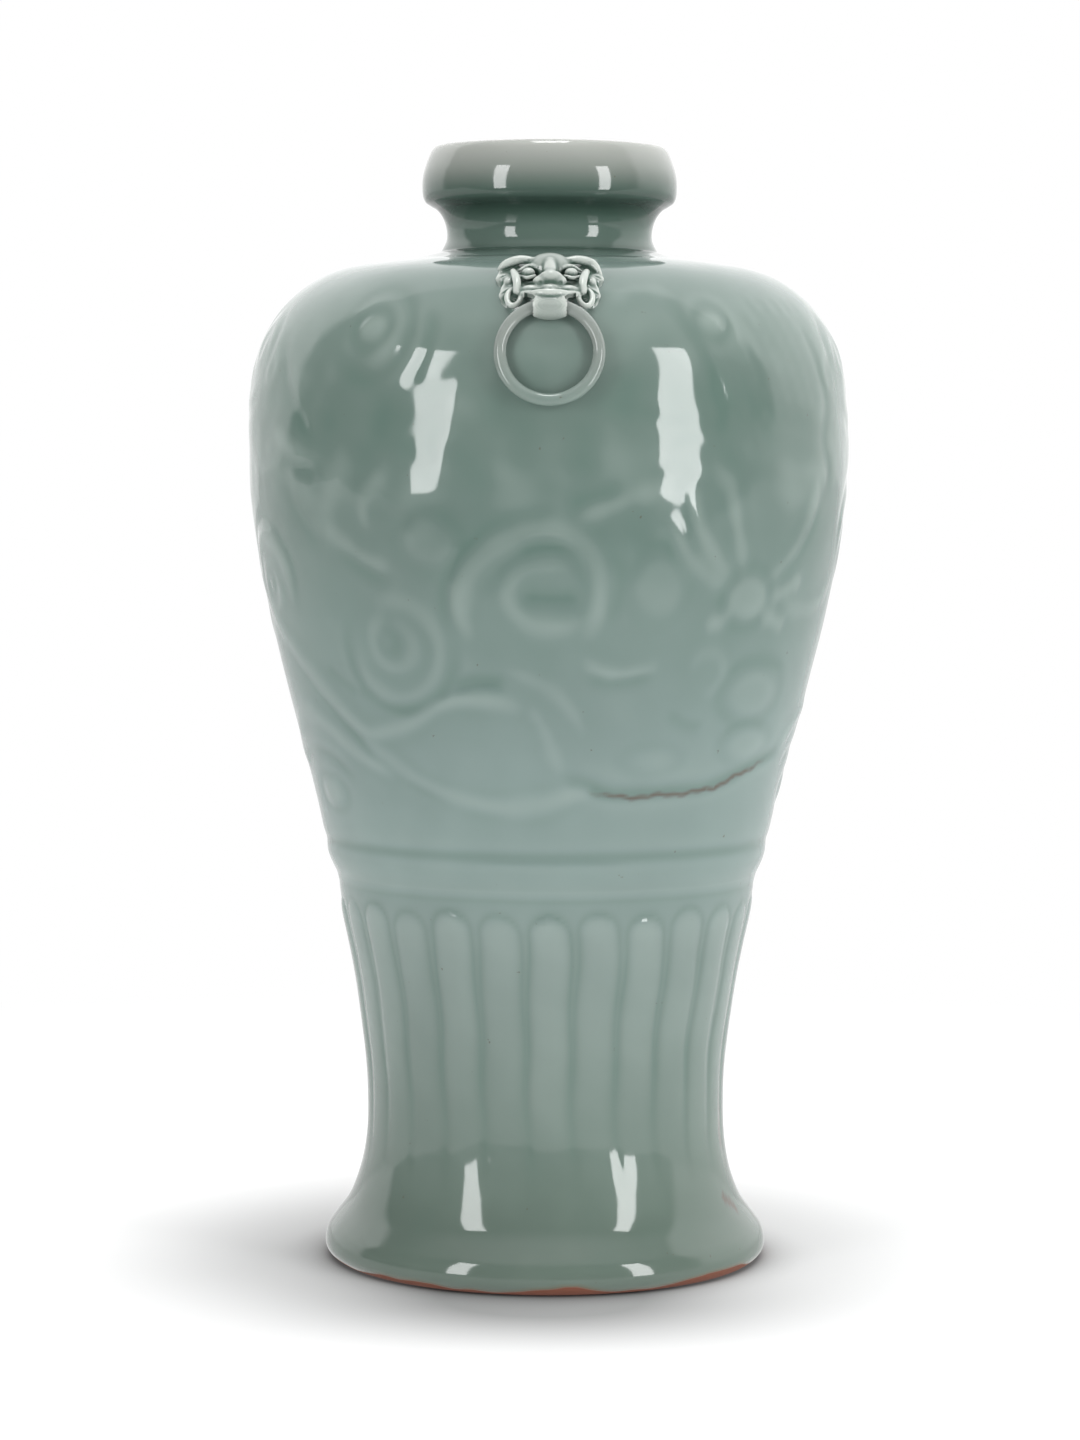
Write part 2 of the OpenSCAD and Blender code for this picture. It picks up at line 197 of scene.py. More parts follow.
# Lengths along the line at which the sections of the vase begin and end
S_FOOT_WIDE = LINE.near(foot_wide)
S_FOOT_TOP = LINE.near(foot_top)
S_BAND = LINE.near(band)
S_EDGE = LINE.near(edge)
S_FLANK = LINE.near(flank)
S_NECK_FOOT = LINE.near(neck_foot)
S_NECK_TOP = LINE.near(neck_top)
S_UNDER = LINE.near(lip_under)
S_CREST = LINE.near(crest)
S_END = float(LINE.s[-1])

leg_rows = graded(0, S_BAND, 1.35, (0, S_FOOT_WIDE, S_FOOT_TOP, S_BAND - 4, S_BAND))
body_rows = graded(S_BAND, S_FLANK, 0.82, (S_BAND, S_EDGE))
shoulder_rows = graded(S_FLANK, S_NECK_FOOT, 1.32, (S_NECK_FOOT,))
mouth_rows = graded(S_NECK_FOOT, S_END, 0.7, (S_NECK_FOOT, S_NECK_TOP, S_UNDER, S_CREST))
ALL_ROWS = np.concatenate([leg_rows, body_rows[1:], shoulder_rows[1:], mouth_rows[1:]])
BAND_ROW = len(leg_rows) - 1
FLANK_ROW = BAND_ROW + len(body_rows) - 1
NECK_ROW = FLANK_ROW + len(shoulder_rows) - 1

# Azimuth of each column, in degrees from the front towards +X
AZIMUTH = np.arange(COLUMNS) * 360 / COLUMNS
ROW_R, ROW_Z = LINE.at(ALL_ROWS).T
ROW_S = ALL_ROWS


# Relief: heights over the clay in mm on the grid of rows and columns

def wrapped(degrees):
    return (degrees + 180) % 360 - 180


def s_of(z):
    """Length along the line at a height, on the leg, belly and shoulder."""
    outside = LINE.s <= S_NECK_FOOT
    return np.interp(z, LINE.points[outside, 1], LINE.s[outside])


def r_of(z):
    return LINE.at(s_of(z))[..., 0]


def between(a, b, c, d, t):
    """Points of a smooth curve from b to c, with a before it and d after it."""
    return 0.5 * (2 * b + (c - a) * t + (2 * a - 5 * b + 4 * c - d) * t ** 2
                  + (3 * b - a - 3 * c + d) * t ** 3)


def extended(p):
    """Points with one more at each end, in line with the last two."""
    return np.concatenate([[2 * p[0] - p[1]], p, [2 * p[-1] - p[-2]]])


def smooth_curve(points, step=0.8):
    """A smooth curve through azimuth and height points: azimuth and length along the line."""
    p = np.array(points, float)
    if len(p) == 2:
        p = np.array([p[0], p.mean(0), p[1]])
    p = extended(p)
    out = []
    for a, b, c, d in zip(p[:-3], p[1:-2], p[2:-1], p[3:]):
        size = math.hypot(*(c - b) * (1.5, 1))
        t = np.arange(0, 1, 1 / max(3, math.ceil(size / step)))[:, None]
        out.append(between(a, b, c, d, t))
    out.append(p[-2:-1])
    az, z = np.concatenate(out).T
    return az, s_of(z)


def softened(height, sigma):
    """Heights smoothed along the rows, all the way round, and along the columns."""
    edge = int(math.ceil(3 * sigma))
    ring = np.concatenate([height[:, -edge:], height, height[:, :edge]], 1)
    return blurred(blurred(ring, sigma, 1)[:, edge:-edge], sigma, 0)


# Shares of the carving that are left under thick glaze: of all heights, and of a ridge's width and height
RELIEF_SHARE = 0.85
RIDGE_WIDTH, RIDGE_HEIGHT = 0.92, 0.85


class Relief:
    """Heights and stains of the carving, as one number for each row and column of the grid."""

    def __init__(self):
        shape = (len(ROW_S), COLUMNS)
        self.raised = np.zeros(shape)
        self.cut = np.zeros(shape)
        self.stain = np.zeros(shape)
        self.ground = np.zeros(shape)

    def window(self, az, s, margin):
        """Rows and columns near a curve, and their distances from its middle."""
        rows = np.where((ROW_S > s.min() - margin) & (ROW_S < s.max() + margin))[0]
        middle = (az.min() + az.max()) / 2
        r = ROW_R[rows].mean()
        half = (az.max() - az.min()) / 2 + math.degrees(margin / r)
        columns = np.where(np.abs(wrapped(AZIMUTH - middle)) < half)[0]
        return rows, columns, middle

    def measured(self, points, margin):
        """Signed distance to a curve (left is positive) and the share of its length."""
        az, s = smooth_curve(points)
        rows, columns, middle = self.window(az, s, margin)
        rr = ROW_R[rows][:, None]
        x = np.radians(wrapped(AZIMUTH[columns] - middle))[None, :] * rr
        y = ROW_S[rows][:, None] + 0 * x
        best = np.full(x.shape, 1e9)
        side = np.zeros(x.shape)
        share = np.zeros(x.shape)
        px = np.radians(az - middle)
        tx, ty = np.gradient(px * r_of(LINE.at(s)[:, 1])), np.gradient(s)
        for i in range(len(s)):
            dx = x - px[i] * rr
            dy = y - s[i]
            d = dx * dx + dy * dy
            nearer = d < best
            best = np.where(nearer, d, best)
            side = np.where(nearer, tx[i] * dy - ty[i] * dx, side)
            share = np.where(nearer, i / (len(s) - 1), share)
        return rows, columns, np.sqrt(best) * np.sign(side), share

    def ridge(self, points, width, height, taper=1.8):
        """A soft raised band that thins out at its ends."""
        rows, columns, d, t = self.measured(points, 1.4 * width)
        ends = np.clip(np.sin(np.pi * np.clip(t, 0, 1)) * taper, 0, 1) ** 0.5
        start = float(np.sum(np.array(points[0]))) * 0.37
        swell = 1 + 0.22 * np.sin(2.4 * math.pi * t + start) + 0.1 * np.sin(7.3 * math.pi * t + 2 * start)
        half = RIDGE_WIDTH * width * swell * (0.4 + 0.6 * ends)
        bump = RIDGE_HEIGHT * height * ends * np.clip(1 - (d / half) ** 2, 0, 1) ** 1.8
        at = np.ix_(rows, columns)
        self.raised[at] = np.maximum(self.raised[at], bump)

    def bevel(self, points, depth, steep, gentle, taper=1.8):
        """A slanted knife cut: steep on the left of the curve, running out on its right."""
        rows, columns, d, t = self.measured(points, 3 * max(steep, gentle))
        ends = np.clip(np.sin(np.pi * t) * taper, 0, 1) if taper else 1
        width = np.where(d > 0, steep, gentle)
        groove = -depth * ends * np.exp(-((d / width) ** 2))
        at = np.ix_(rows, columns)
        self.cut[at] = np.minimum(self.cut[at], groove)

    def crack(self, points, width):
        """A fine firing crack that the kiln has stained brown."""
        rows, columns, d, t = self.measured(points, 6 * width)
        wander = 0.35 * np.sin(t * 31) + 0.2 * np.sin(t * 77 + 1)
        shade = np.exp(-(((d + wander) / width) ** 2)) * np.clip(np.sin(np.pi * t) * 2.2, 0, 1)
        at = np.ix_(rows, columns)
        self.stain[at] = np.maximum(self.stain[at], shade)
        self.cut[at] = np.minimum(self.cut[at], -0.12 * shade)

    def dome(self, az, z, rx, rz, height, rim=0.25, tilt=0, edge=2.4):
        """A raised oval with a flat crown, a soft edge and a cut round it. Sizes in mm."""
        s = float(s_of(z))
        margin = max(rx, rz) + 5
        rows, columns, middle = self.window(np.array([az, az]), np.array([s, s]), margin)
        x = np.radians(wrapped(AZIMUTH[columns] - az))[None, :] * ROW_R[rows][:, None]
        y = ROW_S[rows][:, None] - s
        c, n = math.cos(math.radians(tilt)), math.sin(math.radians(tilt))
        u, v = (x * c + y * n) / rx, (y * c - x * n) / rz
        inwards = (1 - np.hypot(u, v)) * min(rx, rz)
        at = np.ix_(rows, columns)
        rise = np.clip(inwards / edge, 0, 1)
        bump = height * rise * rise * (3 - 2 * rise)
        self.raised[at] = np.maximum(self.raised[at], bump)
        around = -rim * np.exp(-(((inwards + 1.0) / 1.3) ** 2))
        self.cut[at] = np.minimum(self.cut[at], around)

    def total(self):
        """All heights together, softened as thick glaze softens a carving."""
        cuts = np.where(self.raised > 0.2, 0.5, 1) * self.cut
        return self.ground + RELIEF_SHARE * softened(self.raised + cuts, 1.25)


def spiral(az, z, start_r, end_r, turns, phase, hand=1):
    """Azimuth and height points of a scroll round a place, sizes in mm."""
    count = int(turns * 12) + 1
    t = np.linspace(0, 1, count)
    a = np.radians(phase) + hand * t * turns * 2 * math.pi
    r = start_r + (end_r - start_r) * t
    scale = math.degrees(1 / float(r_of(z)))
    return np.stack([az + r * np.cos(a) * scale, z + r * np.sin(a)], 1)


def petals(relief):
    """Petals round the leg, with round tops under the ledge, leaning a little to the right."""
    arch_top, fade_z, fade_h = 115.5, 27, 40
    half_w = 6.4
    depth = 0.62
    z = ROW_Z[:, None]
    on_leg = (ROW_S < S_BAND)[:, None]
    wobble = 0.5 * np.sin(z / 13) + 0.3 * np.sin(z / 5.1 + np.radians(AZIMUTH * 3)[None, :])
    drift = 3.0 * (1 - z / arch_top) + 1.1 * wobble
    pitch = 360 / PETALS
    number = (AZIMUTH[None, :] - drift) / pitch
    u = (number - np.round(number)) * pitch
    x = np.radians(u) * ROW_R[:, None]
    half = np.minimum(half_w, math.radians(pitch / 2) * ROW_R[:, None])
    arch = arch_top - half_w + 0.8 * np.sin(np.round(number) * 2.4)
    out = np.where(z > arch, np.hypot(x, z - arch), np.abs(x))
    inside = 1 - out / half
    crown = np.clip(inside, 0, 1)
    pillow = depth * (1 - (1 - crown) ** 2.4)
    groove = -0.1 * np.exp(-((inside / 0.2) ** 2))
    fade = np.clip((z - fade_z) / fade_h, 0, 1) ** 1.1
    strength = 0.8 + 0.2 * np.sin(np.round(number) * 2.9 + 1)
    height = fade * (strength * pillow + groove) - 0.5 * fade
    relief.ground += np.where(on_leg, height * np.clip((S_BAND - ROW_S) / 3, 0, 1)[:, None], 0)


def cloud(relief, az, z, size, hand=1, height=0.5):
    """A scrolled cloud: a big curl, a small curl on each side and a tail that drifts off."""
    scale = math.degrees(size / float(r_of(z)))
    relief.ridge(spiral(az, z, 0.10 * size, 0.62 * size, 1.3, 90, hand), 0.21 * size, height)
    relief.bevel(spiral(az, z, 0.84 * size, 0.98 * size, 0.6, 90 - hand * 80, hand), 0.8 * height, 1.2, 2.8)
    for side, drop, share in ((-1, 0.42, 0.5), (1, 0.55, 0.42)):
        curl = spiral(az + side * 1.12 * scale, z - drop * size, 0.2 * share * size, share * size,
                      1.1, 90, side)
        relief.ridge(curl, 0.17 * size, 0.85 * height)
    tail = [(az - hand * 0.3 * scale, z - 0.95 * size), (az + hand * 0.6 * scale, z - 1.2 * size),
            (az + hand * 1.5 * scale, z - 1.15 * size), (az + hand * 2.3 * scale, z - 0.8 * size)]
    relief.ridge(tail, 0.2 * size, 0.8 * height)
    relief.bevel([(at, up - 0.26 * size) for at, up in tail], 0.7 * height, 1.2, 2.6)


def wave(relief, az, z, size, hand=1, height=0.6):
    """A breaking wave: a hook in the middle, a broad arc over it and a second one."""
    scale = math.degrees(size / float(r_of(z)))
    relief.ridge(spiral(az, z, 0.30 * size, 0.46 * size, 0.85, 60, hand), 0.24 * size, 0.9 * height)
    relief.dome(az, z, 0.16 * size, 0.13 * size, 0.6 * height, edge=1.6)
    start = 200 if hand < 0 else -20
    relief.ridge(spiral(az, z, 0.95 * size, 0.72 * size, 0.6, start, hand), 0.3 * size, height)
    relief.bevel(spiral(az, z, 1.14 * size, 0.98 * size, 0.55, start, hand), 0.8 * height, 1.2, 3.0)
    tail = [(az - hand * 0.9 * scale, z - 0.5 * size), (az - hand * 1.5 * scale, z - 0.9 * size),
            (az - hand * 2.3 * scale, z - 1.0 * size), (az - hand * 3.1 * scale, z - 0.8 * size)]
    relief.ridge(tail, 0.24 * size, 0.9 * height)


def front_design(relief):
    """The carved clouds, waves and claw on the front. Points are azimuth in degrees and height in mm."""
    # Cloud scroll at the upper left
    relief.dome(-36, 291, 5.8, 5.2, 0.4)
    relief.ridge(spiral(-36, 291, 8.6, 9.4, 0.95, 150, -1), 3.4, 0.2)
    relief.bevel(spiral(-36, 290, 13.2, 15.2, 0.85, 160, -1), 0.34, 1.2, 3.0)
    relief.bevel([(-28, 273), (-25.5, 278), (-23.8, 284), (-23.5, 291), (-25, 297)], 0.4, 1.2, 2.6)
    # Crescent, stroke and pebble
    relief.ridge([(-30, 248.5), (-33.5, 245), (-35.5, 240), (-36, 235), (-34.5, 231)], 4.0, 0.42)
    relief.ridge([(-46, 232.5), (-41, 227), (-36.5, 223), (-31, 219.5)], 4.4, 0.5)
    relief.bevel([(-44, 226), (-40, 221.5), (-36, 218), (-31, 216)], 0.42, 2.4, 1.2)
    relief.dome(-22.5, 228, 10.6, 8.6, 0.34, rim=0.12, tilt=-8, edge=4)
    # Left wave
    relief.dome(-34, 198, 2.6, 2.6, 0.14, rim=0.24, edge=1.8)
    relief.ridge(spiral(-32, 197.5, 5.8, 8.2, 1.0, 100, -1), 4.4, 0.42)
    relief.ridge(spiral(-32, 197, 13.0, 17.0, 0.8, 120, -1), 4.6, 0.38)
    relief.bevel(spiral(-32, 197, 19.0, 21.0, 0.62, 150, 1), 0.45, 2.8, 1.2)
    for low, high in [((-53, 190), (-48, 185)), ((-50, 187), (-44, 182)), ((-44, 184), (-38, 180))]:
        relief.bevel([low, high], 0.28, 1.1, 1.9)
    # Middle wave: the hook, its broad arc and the second arc
    relief.ridge([(5, 221), (1, 222.5), (-4, 221), (-7, 217), (-7.5, 211), (-5, 206), (-1, 203.5), (4, 204),
                  (7, 206.5)], 5.0, 0.5)
    relief.bevel([(-4.5, 213), (0, 212.5), (5.5, 213)], 0.6, 1.4, 1.5, 3)
    relief.bevel([(-6, 226.5), (-1, 228), (4, 226)], 0.5, 1.6, 1.6)
    relief.ridge([(-15, 199), (-17, 206), (-17, 213), (-15, 220), (-11.5, 226), (-6.5, 230.5), (-0.5, 232.5),
                  (3.5, 231.5), (7, 228), (9, 222), (9.5, 214), (9, 206), (7.5, 199)], 5.6, 0.6, 3)
    relief.bevel([(-19.5, 200), (-20.5, 208), (-20, 216), (-17, 224), (-12, 231), (-6, 235.5), (1, 237)],
                 0.45, 1.4, 3.6)
    relief.ridge([(5, 235), (10, 238.5), (15, 241.5), (20, 243)], 4.2, 0.5)
    relief.bevel([(3, 238), (8, 241), (14, 244)], 0.45, 3.2, 1.2)
    relief.dome(21.5, 216, 9.5, 11.5, 0.2, rim=0.1, edge=4)
    relief.bevel([(11.5, 229), (13.2, 222), (13.2, 213), (11.8, 204)], 0.3, 2.4, 1.2)
    relief.ridge([(7, 195), (9, 191.5), (13, 189.5), (18, 190), (23, 191.5)], 2.8, 0.5)
    relief.bevel([(8, 190), (11, 187.5), (16, 187), (22, 189)], 0.3, 1.2, 2.4)
    # Short hair strokes in the smooth upper belly
    hair = [([(16, 269), (21, 264.5), (27, 264)], 0.3), ([(21, 256), (26, 259.5), (31, 258)], 0.32),
            ([(18, 249), (23, 252), (28, 249)], 0.28), ([(-28, 278), (-22, 274.5), (-16, 276)], 0.26),
            ([(-18.5, 263), (-21.5, 257), (-20, 251)], 0.3)]
    for stroke, cut in hair:
        relief.bevel(stroke, cut, 1.2, 2.2)
    # Claw: hub and toes
    relief.dome(42, 211.5, 9.4, 8.2, 0.5, rim=0.3, edge=2.6)
    toes = [
        [(37, 214), (31, 218.5), (26.5, 224.5), (24.5, 230), (22.5, 236)],
        [(38, 216), (33, 223), (29.5, 231), (27.5, 238), (26.5, 247)],
        [(40, 218), (38, 228), (36, 238), (34.5, 246), (31, 254)],
        [(46, 216), (51, 221), (55, 227.5), (58, 236), (59.5, 247)],
        [(47, 211), (53, 213.5), (59, 217)],
        [(46, 208), (50.5, 204.5), (55, 202.5)],
        [(39, 208), (35, 204.5), (32, 203)],
    ]
    for toe in toes:
        relief.ridge(toe, 4.6, 0.62)
    relief.bevel([(35, 213), (29, 218), (24, 225), (21.5, 233)], 0.35, 1.2, 2.4)
    relief.bevel([(49, 216), (54, 222), (59, 230), (62, 240)], 0.35, 2.8, 1.2)
    # Clouds under the claw
    relief.dome(49, 182, 13.5, 8.8, 0.36, rim=0.14, edge=4)
    relief.bevel([(39, 187), (43, 191.5), (49, 193), (56, 191), (60, 187)], 0.4, 1.2, 2.4)
    relief.dome(51, 166.5, 11.0, 5.8, 0.26, rim=0.14, edge=3)
    relief.bevel([(41, 168), (45, 172.5), (51, 173.5), (58, 172)], 0.3, 1.1, 2.0)
    relief.ridge(spiral(34, 190, 4, 8, 0.8, 200, -1), 3.6, 0.26)
    relief.bevel([(26, 178), (31, 174), (36, 173)], 0.25, 1.2, 2.4)
    relief.dome(24, 163, 8, 4, 0.12, rim=0.1, edge=3)
    # Long ridges of the dragon's body and the wave under it
    relief.ridge([(-88, 222), (-80, 211), (-73, 202), (-66, 194), (-59, 186.5), (-53, 179.5), (-48, 174),
                  (-43, 170), (-37, 171), (-30, 174), (-24, 179), (-18, 181), (-11, 181), (-5, 178.5)],
                 4.8, 0.6, 4)
    relief.bevel([(-72, 196), (-64, 188), (-57, 180), (-51, 173), (-44, 165), (-37, 158.5), (-30, 154),
                  (-23, 150.5), (-16, 148)], 0.42, 3.2, 1.3)
    relief.ridge([(-46, 170), (-41, 164.5), (-35, 159), (-29, 155), (-22, 151.5), (-15, 149.5), (-8, 148.8),
                  (-1, 150), (6, 153), (11, 154)], 4.6, 0.55, 3)
    relief.bevel([(-21, 185.5), (-15, 187.5), (-8, 187)], 0.5, 1.7, 2.4)
    relief.ridge([(-9, 191), (-4, 188), (1, 184), (5, 178), (8, 171)], 3.8, 0.36)
    relief.ridge([(-4, 180), (-1, 173), (1, 166), (3, 159)], 3.4, 0.34)
    relief.bevel([(69, 163), (62, 161), (54, 158.5), (46, 155), (39, 153), (31, 152.5), (24, 152),
                  (17, 152), (12, 153), (7, 155.5), (3, 158.5)], 0.75, 1.1, 3.4, 3)
    relief.crack([(63, 161), (54, 158.2), (46, 154.8), (39, 152.8), (31, 152.2), (24, 151.8), (17, 151.8),
                  (12, 152.8), (8, 154.6)], 0.75)
    # Brown flaws at the right edge of the leg and foot
    relief.crack([(75, 55), (76.5, 48), (75.5, 41), (77, 35)], 1.3)
    relief.crack([(66, 23.5), (69, 21), (72, 19.5), (75, 16)], 1.8)
    # Mane and shoulder at the upper right
    relief.ridge([(12, 299), (17, 302.5), (22, 303), (27, 300.5)], 4.0, 0.35)
    relief.bevel([(24.5, 303), (27, 296), (29.5, 288), (31.5, 281), (33.5, 273), (34, 265), (31, 258)],
                 0.42, 1.3, 3.4)
    relief.dome(33, 293.5, 4.8, 4.4, 0.3, edge=2)
    relief.ridge(spiral(33, 293.5, 7.4, 8.6, 0.85, 200, -1), 3.0, 0.2)
    relief.bevel([(62, 302), (60, 292), (61, 281), (63, 270), (61, 259), (64, 247), (60, 238)], 0.4, 3.2, 1.2)
    # Leaves at the left edge
    relief.bevel([(-64, 292), (-60, 283), (-57, 274), (-52, 265), (-47, 257)], 0.42, 1.2, 3.6)
    relief.ridge([(-63, 262), (-57, 257), (-50, 254), (-44, 253)], 4.0, 0.36)
    relief.bevel([(-60, 251), (-54, 250), (-48, 250)], 0.35, 1.2, 2.4)
    relief.bevel([(-57, 247), (-55, 238), (-50, 230), (-46, 226)], 0.35, 1.2, 3.0)


def back_design(relief):
    """Clouds and waves that carry the carving on round the back."""
    for az, z, size, hand in [(78, 285, 15, 1), (112, 262, 17, -1), (150, 288, 15, 1), (180, 246, 18, -1),
                              (214, 286, 15, -1), (250, 262, 17, 1), (284, 287, 14, -1)]:
        cloud(relief, az, z, size, hand, 0.42)
    for az, z, size, hand in [(88, 226, 19, 1), (128, 205, 20, 1), (170, 203, 19, 1), (212, 206, 20, 1),
                              (252, 208, 19, 1), (288, 214, 18, 1)]:
        wave(relief, az, z, size, hand, 0.5)
    for start in range(66, 300, 42):
        relief.ridge([(start, 163), (start + 8, 171), (start + 18, 175), (start + 28, 170), (start + 38, 162),
                      (start + 48, 158)], 4.6, 0.5, 3)
        relief.bevel([(start + 4, 158), (start + 14, 163), (start + 24, 162), (start + 34, 155)],
                     0.4, 1.2, 3.0)
        relief.dome(start + 21, 150, 8, 5, 0.3, edge=3)


def scales(relief, az_low, az_high, z_low, z_high, size=6.4):
    """Rows of overlapping scales on the dragon's neck."""
    rows = int((z_high - z_low) / (size * 0.66))
    for i in range(rows):
        z = z_low + (i + 0.5) * (z_high - z_low) / rows
        pitch = math.degrees(size / float(r_of(z)))
        lean = 0.22 * (z - z_low)
        place = az_low + lean + (i % 2) * pitch / 2
        while place < az_high + lean:
            points = [(place - pitch * 0.5, z + size * 0.28), (place - pitch * 0.3, z - size * 0.2),
                      (place, z - size * 0.42), (place + pitch * 0.3, z - size * 0.2),
                      (place + pitch * 0.5, z + size * 0.28)]
            relief.bevel(points, 0.2, 1.0, 1.9, 0)
            place += pitch


def uneven(relief):
    """Soft swells that the hand and the thick glaze leave in the wall."""
    x = np.sin(np.radians(AZIMUTH))[None, :] * ROW_R[:, None]
    y = -np.cos(np.radians(AZIMUTH))[None, :] * ROW_R[:, None]
    z = ROW_Z[:, None]
    # Lowered a little, so that no swell stands out past the widest part of the solid
    swell = np.full(x.shape, -0.1)
    random = np.random.default_rng(7)
    for length, size in ((70, 0.10), (42, 0.06), (26, 0.04), (15, 0.022), (9, 0.008)):
        for _ in range(5):
            k = random.normal(size=3)
            k *= 2 * math.pi / (length * np.linalg.norm(k))
            swell += size / 2.2 * np.sin(k[0] * x + k[1] * y + k[2] * z + random.uniform(0, 6.28))
    lumpy = 1 + 2.3 * np.exp(-(((ROW_Z - belly[1]) / 28) ** 4))
    calm = lumpy * np.clip((ROW_S - 2) / 10, 0, 1) * np.clip((S_NECK_FOOT - 2 - ROW_S) / 8, 0, 1)
    mouth = 0.35 * (ROW_S > S_NECK_FOOT) * np.clip((S_END - ROW_S) / 10, 0, 1)
    relief.ground += swell * (calm + mouth)[:, None]


def build_relief():
    relief = Relief()
    petals(relief)
    front_design(relief)
    back_design(relief)
    scales(relief, 38, 56, 264, 300)
    # Turned groove over the ledge
    line_z, line_w, line_d = 133.2, 2.2, 0.4
    relief.ground -= (line_d * np.exp(-((ROW_S - s_of(line_z)) / line_w) ** 2))[:, None]
    uneven(relief)
    return relief.total(), relief.stain


HEIGHT, STAIN = build_relief()


# Grid of the glazed surface

def surface(height):
    """Positions and normals of the glazed surface, rows by columns, in metres."""
    t = np.gradient(np.stack([ROW_R, ROW_Z], 1), ROW_S, axis=0)
    t /= np.hypot(*t.T)[:, None]
    nr, nz = t[:, 1], -t[:, 0]
    r = ROW_R[:, None] + height * nr[:, None]
    z = ROW_Z[:, None] + height * nz[:, None]
    a = np.radians(AZIMUTH)[None, :]
    p = np.stack([r * np.sin(a), -r * np.cos(a), z + 0 * a], -1) * MM
    across = np.roll(p, -1, 1) - np.roll(p, 1, 1)
    up = np.gradient(p, axis=0)
    n = np.cross(across, up)
    n /= np.linalg.norm(n, axis=-1, keepdims=True)
    return p, n


POINTS, NORMALS = surface(HEIGHT)


def pooled(height):
    """How far the glaze stands over its surroundings: below 0 it pools and is darker."""
    near, near_share = 2.4, 0.75
    far, far_share = 8.0, 0.55
    return near_share * (height - softened(height, near)) + far_share * (height - softened(height, far))


POOL = pooled(HEIGHT)


def lathe_piece(name, first, last, rest_of_line, skip=1):
    """A closed section: glazed rows first to last, then rings of plain points (r, z) back to the start."""
    columns = COLUMNS // skip
    a = np.radians(AZIMUTH[::skip])
    rings = [np.stack([r * np.sin(a), -r * np.cos(a), z + 0 * a], -1) * MM for r, z in rest_of_line]
    outer = POINTS[first:last + 1, ::skip]
    co = np.concatenate([outer, np.array(rings)])
    rows = len(co)
    count = last + 1 - first
    i = np.arange(rows)[:, None] * columns
    j = np.arange(columns)[None, :]
    up = np.roll(np.arange(rows), -1)[:, None] * columns
    right = (j + 1) % columns
    quads = np.stack([i + j, i + right, up + right, up + j], -1).reshape(-1, 4)
    flat = co.reshape(-1, 3)
    mesh = smooth_mesh(name, flat, quads)
    face = np.cross(flat[quads[:, 2]] - flat[quads[:, 0]], flat[quads[:, 3]] - flat[quads[:, 1]])
    face /= np.linalg.norm(face, axis=1, keepdims=True) + 1e-20
    loop_normals = np.repeat(face[:, None, :], 4, 1)
    on_glaze = quads.reshape(rows, columns, 4).max(-1) < count * columns
    glazed = (on_glaze & (np.arange(rows) < count - 1)[:, None]).ravel()
    vertex_normals = NORMALS[first:last + 1, ::skip].reshape(-1, 3)
    loop_normals[glazed] = vertex_normals[quads[glazed]]
    mesh.normals_split_custom_set(loop_normals.reshape(-1, 3).tolist())
    for kind, grid in (("pool", POOL), ("stain", STAIN)):
        values = np.zeros(rows * columns)
        values[:count * columns] = grid[first:last + 1, ::skip].ravel()
        give(mesh, kind, values)
    mesh.validate()
    return placed(name, mesh)


# Inner wall, as rings from the top of a section down

def inner_line():
    """The wall's inside from the waist to the neck, a wall's width in from the outline."""
    stations = []
    for s in (waist, hip, flank, belly, turn, top, neck_foot):
        a = math.radians(s[2])
        stations.append((s[0] - WALL * math.sin(a), s[1] + WALL * math.cos(a), s[2], s[2]))
    return line_through(stations)


INSIDE = inner_line()


def inside_rings(high, low, count):
    z = np.linspace(high, low, count)
    return [(float(np.interp(h, INSIDE[:, 1], INSIDE[:, 0])), float(h)) for h in z]


# Inside sizes: the laps, the base disc's pocket and seat, the hollow of the foot and the neck's tongue
LAP = 6.0
pocket_r = waist[0] - WALL
seat_z, seat_w, hollow_h, stand_w = 18.0, 5.0, 14.0, 8.0
tongue_r = 29.0
ceiling_z = neck_foot[1] - WALL


# Materials

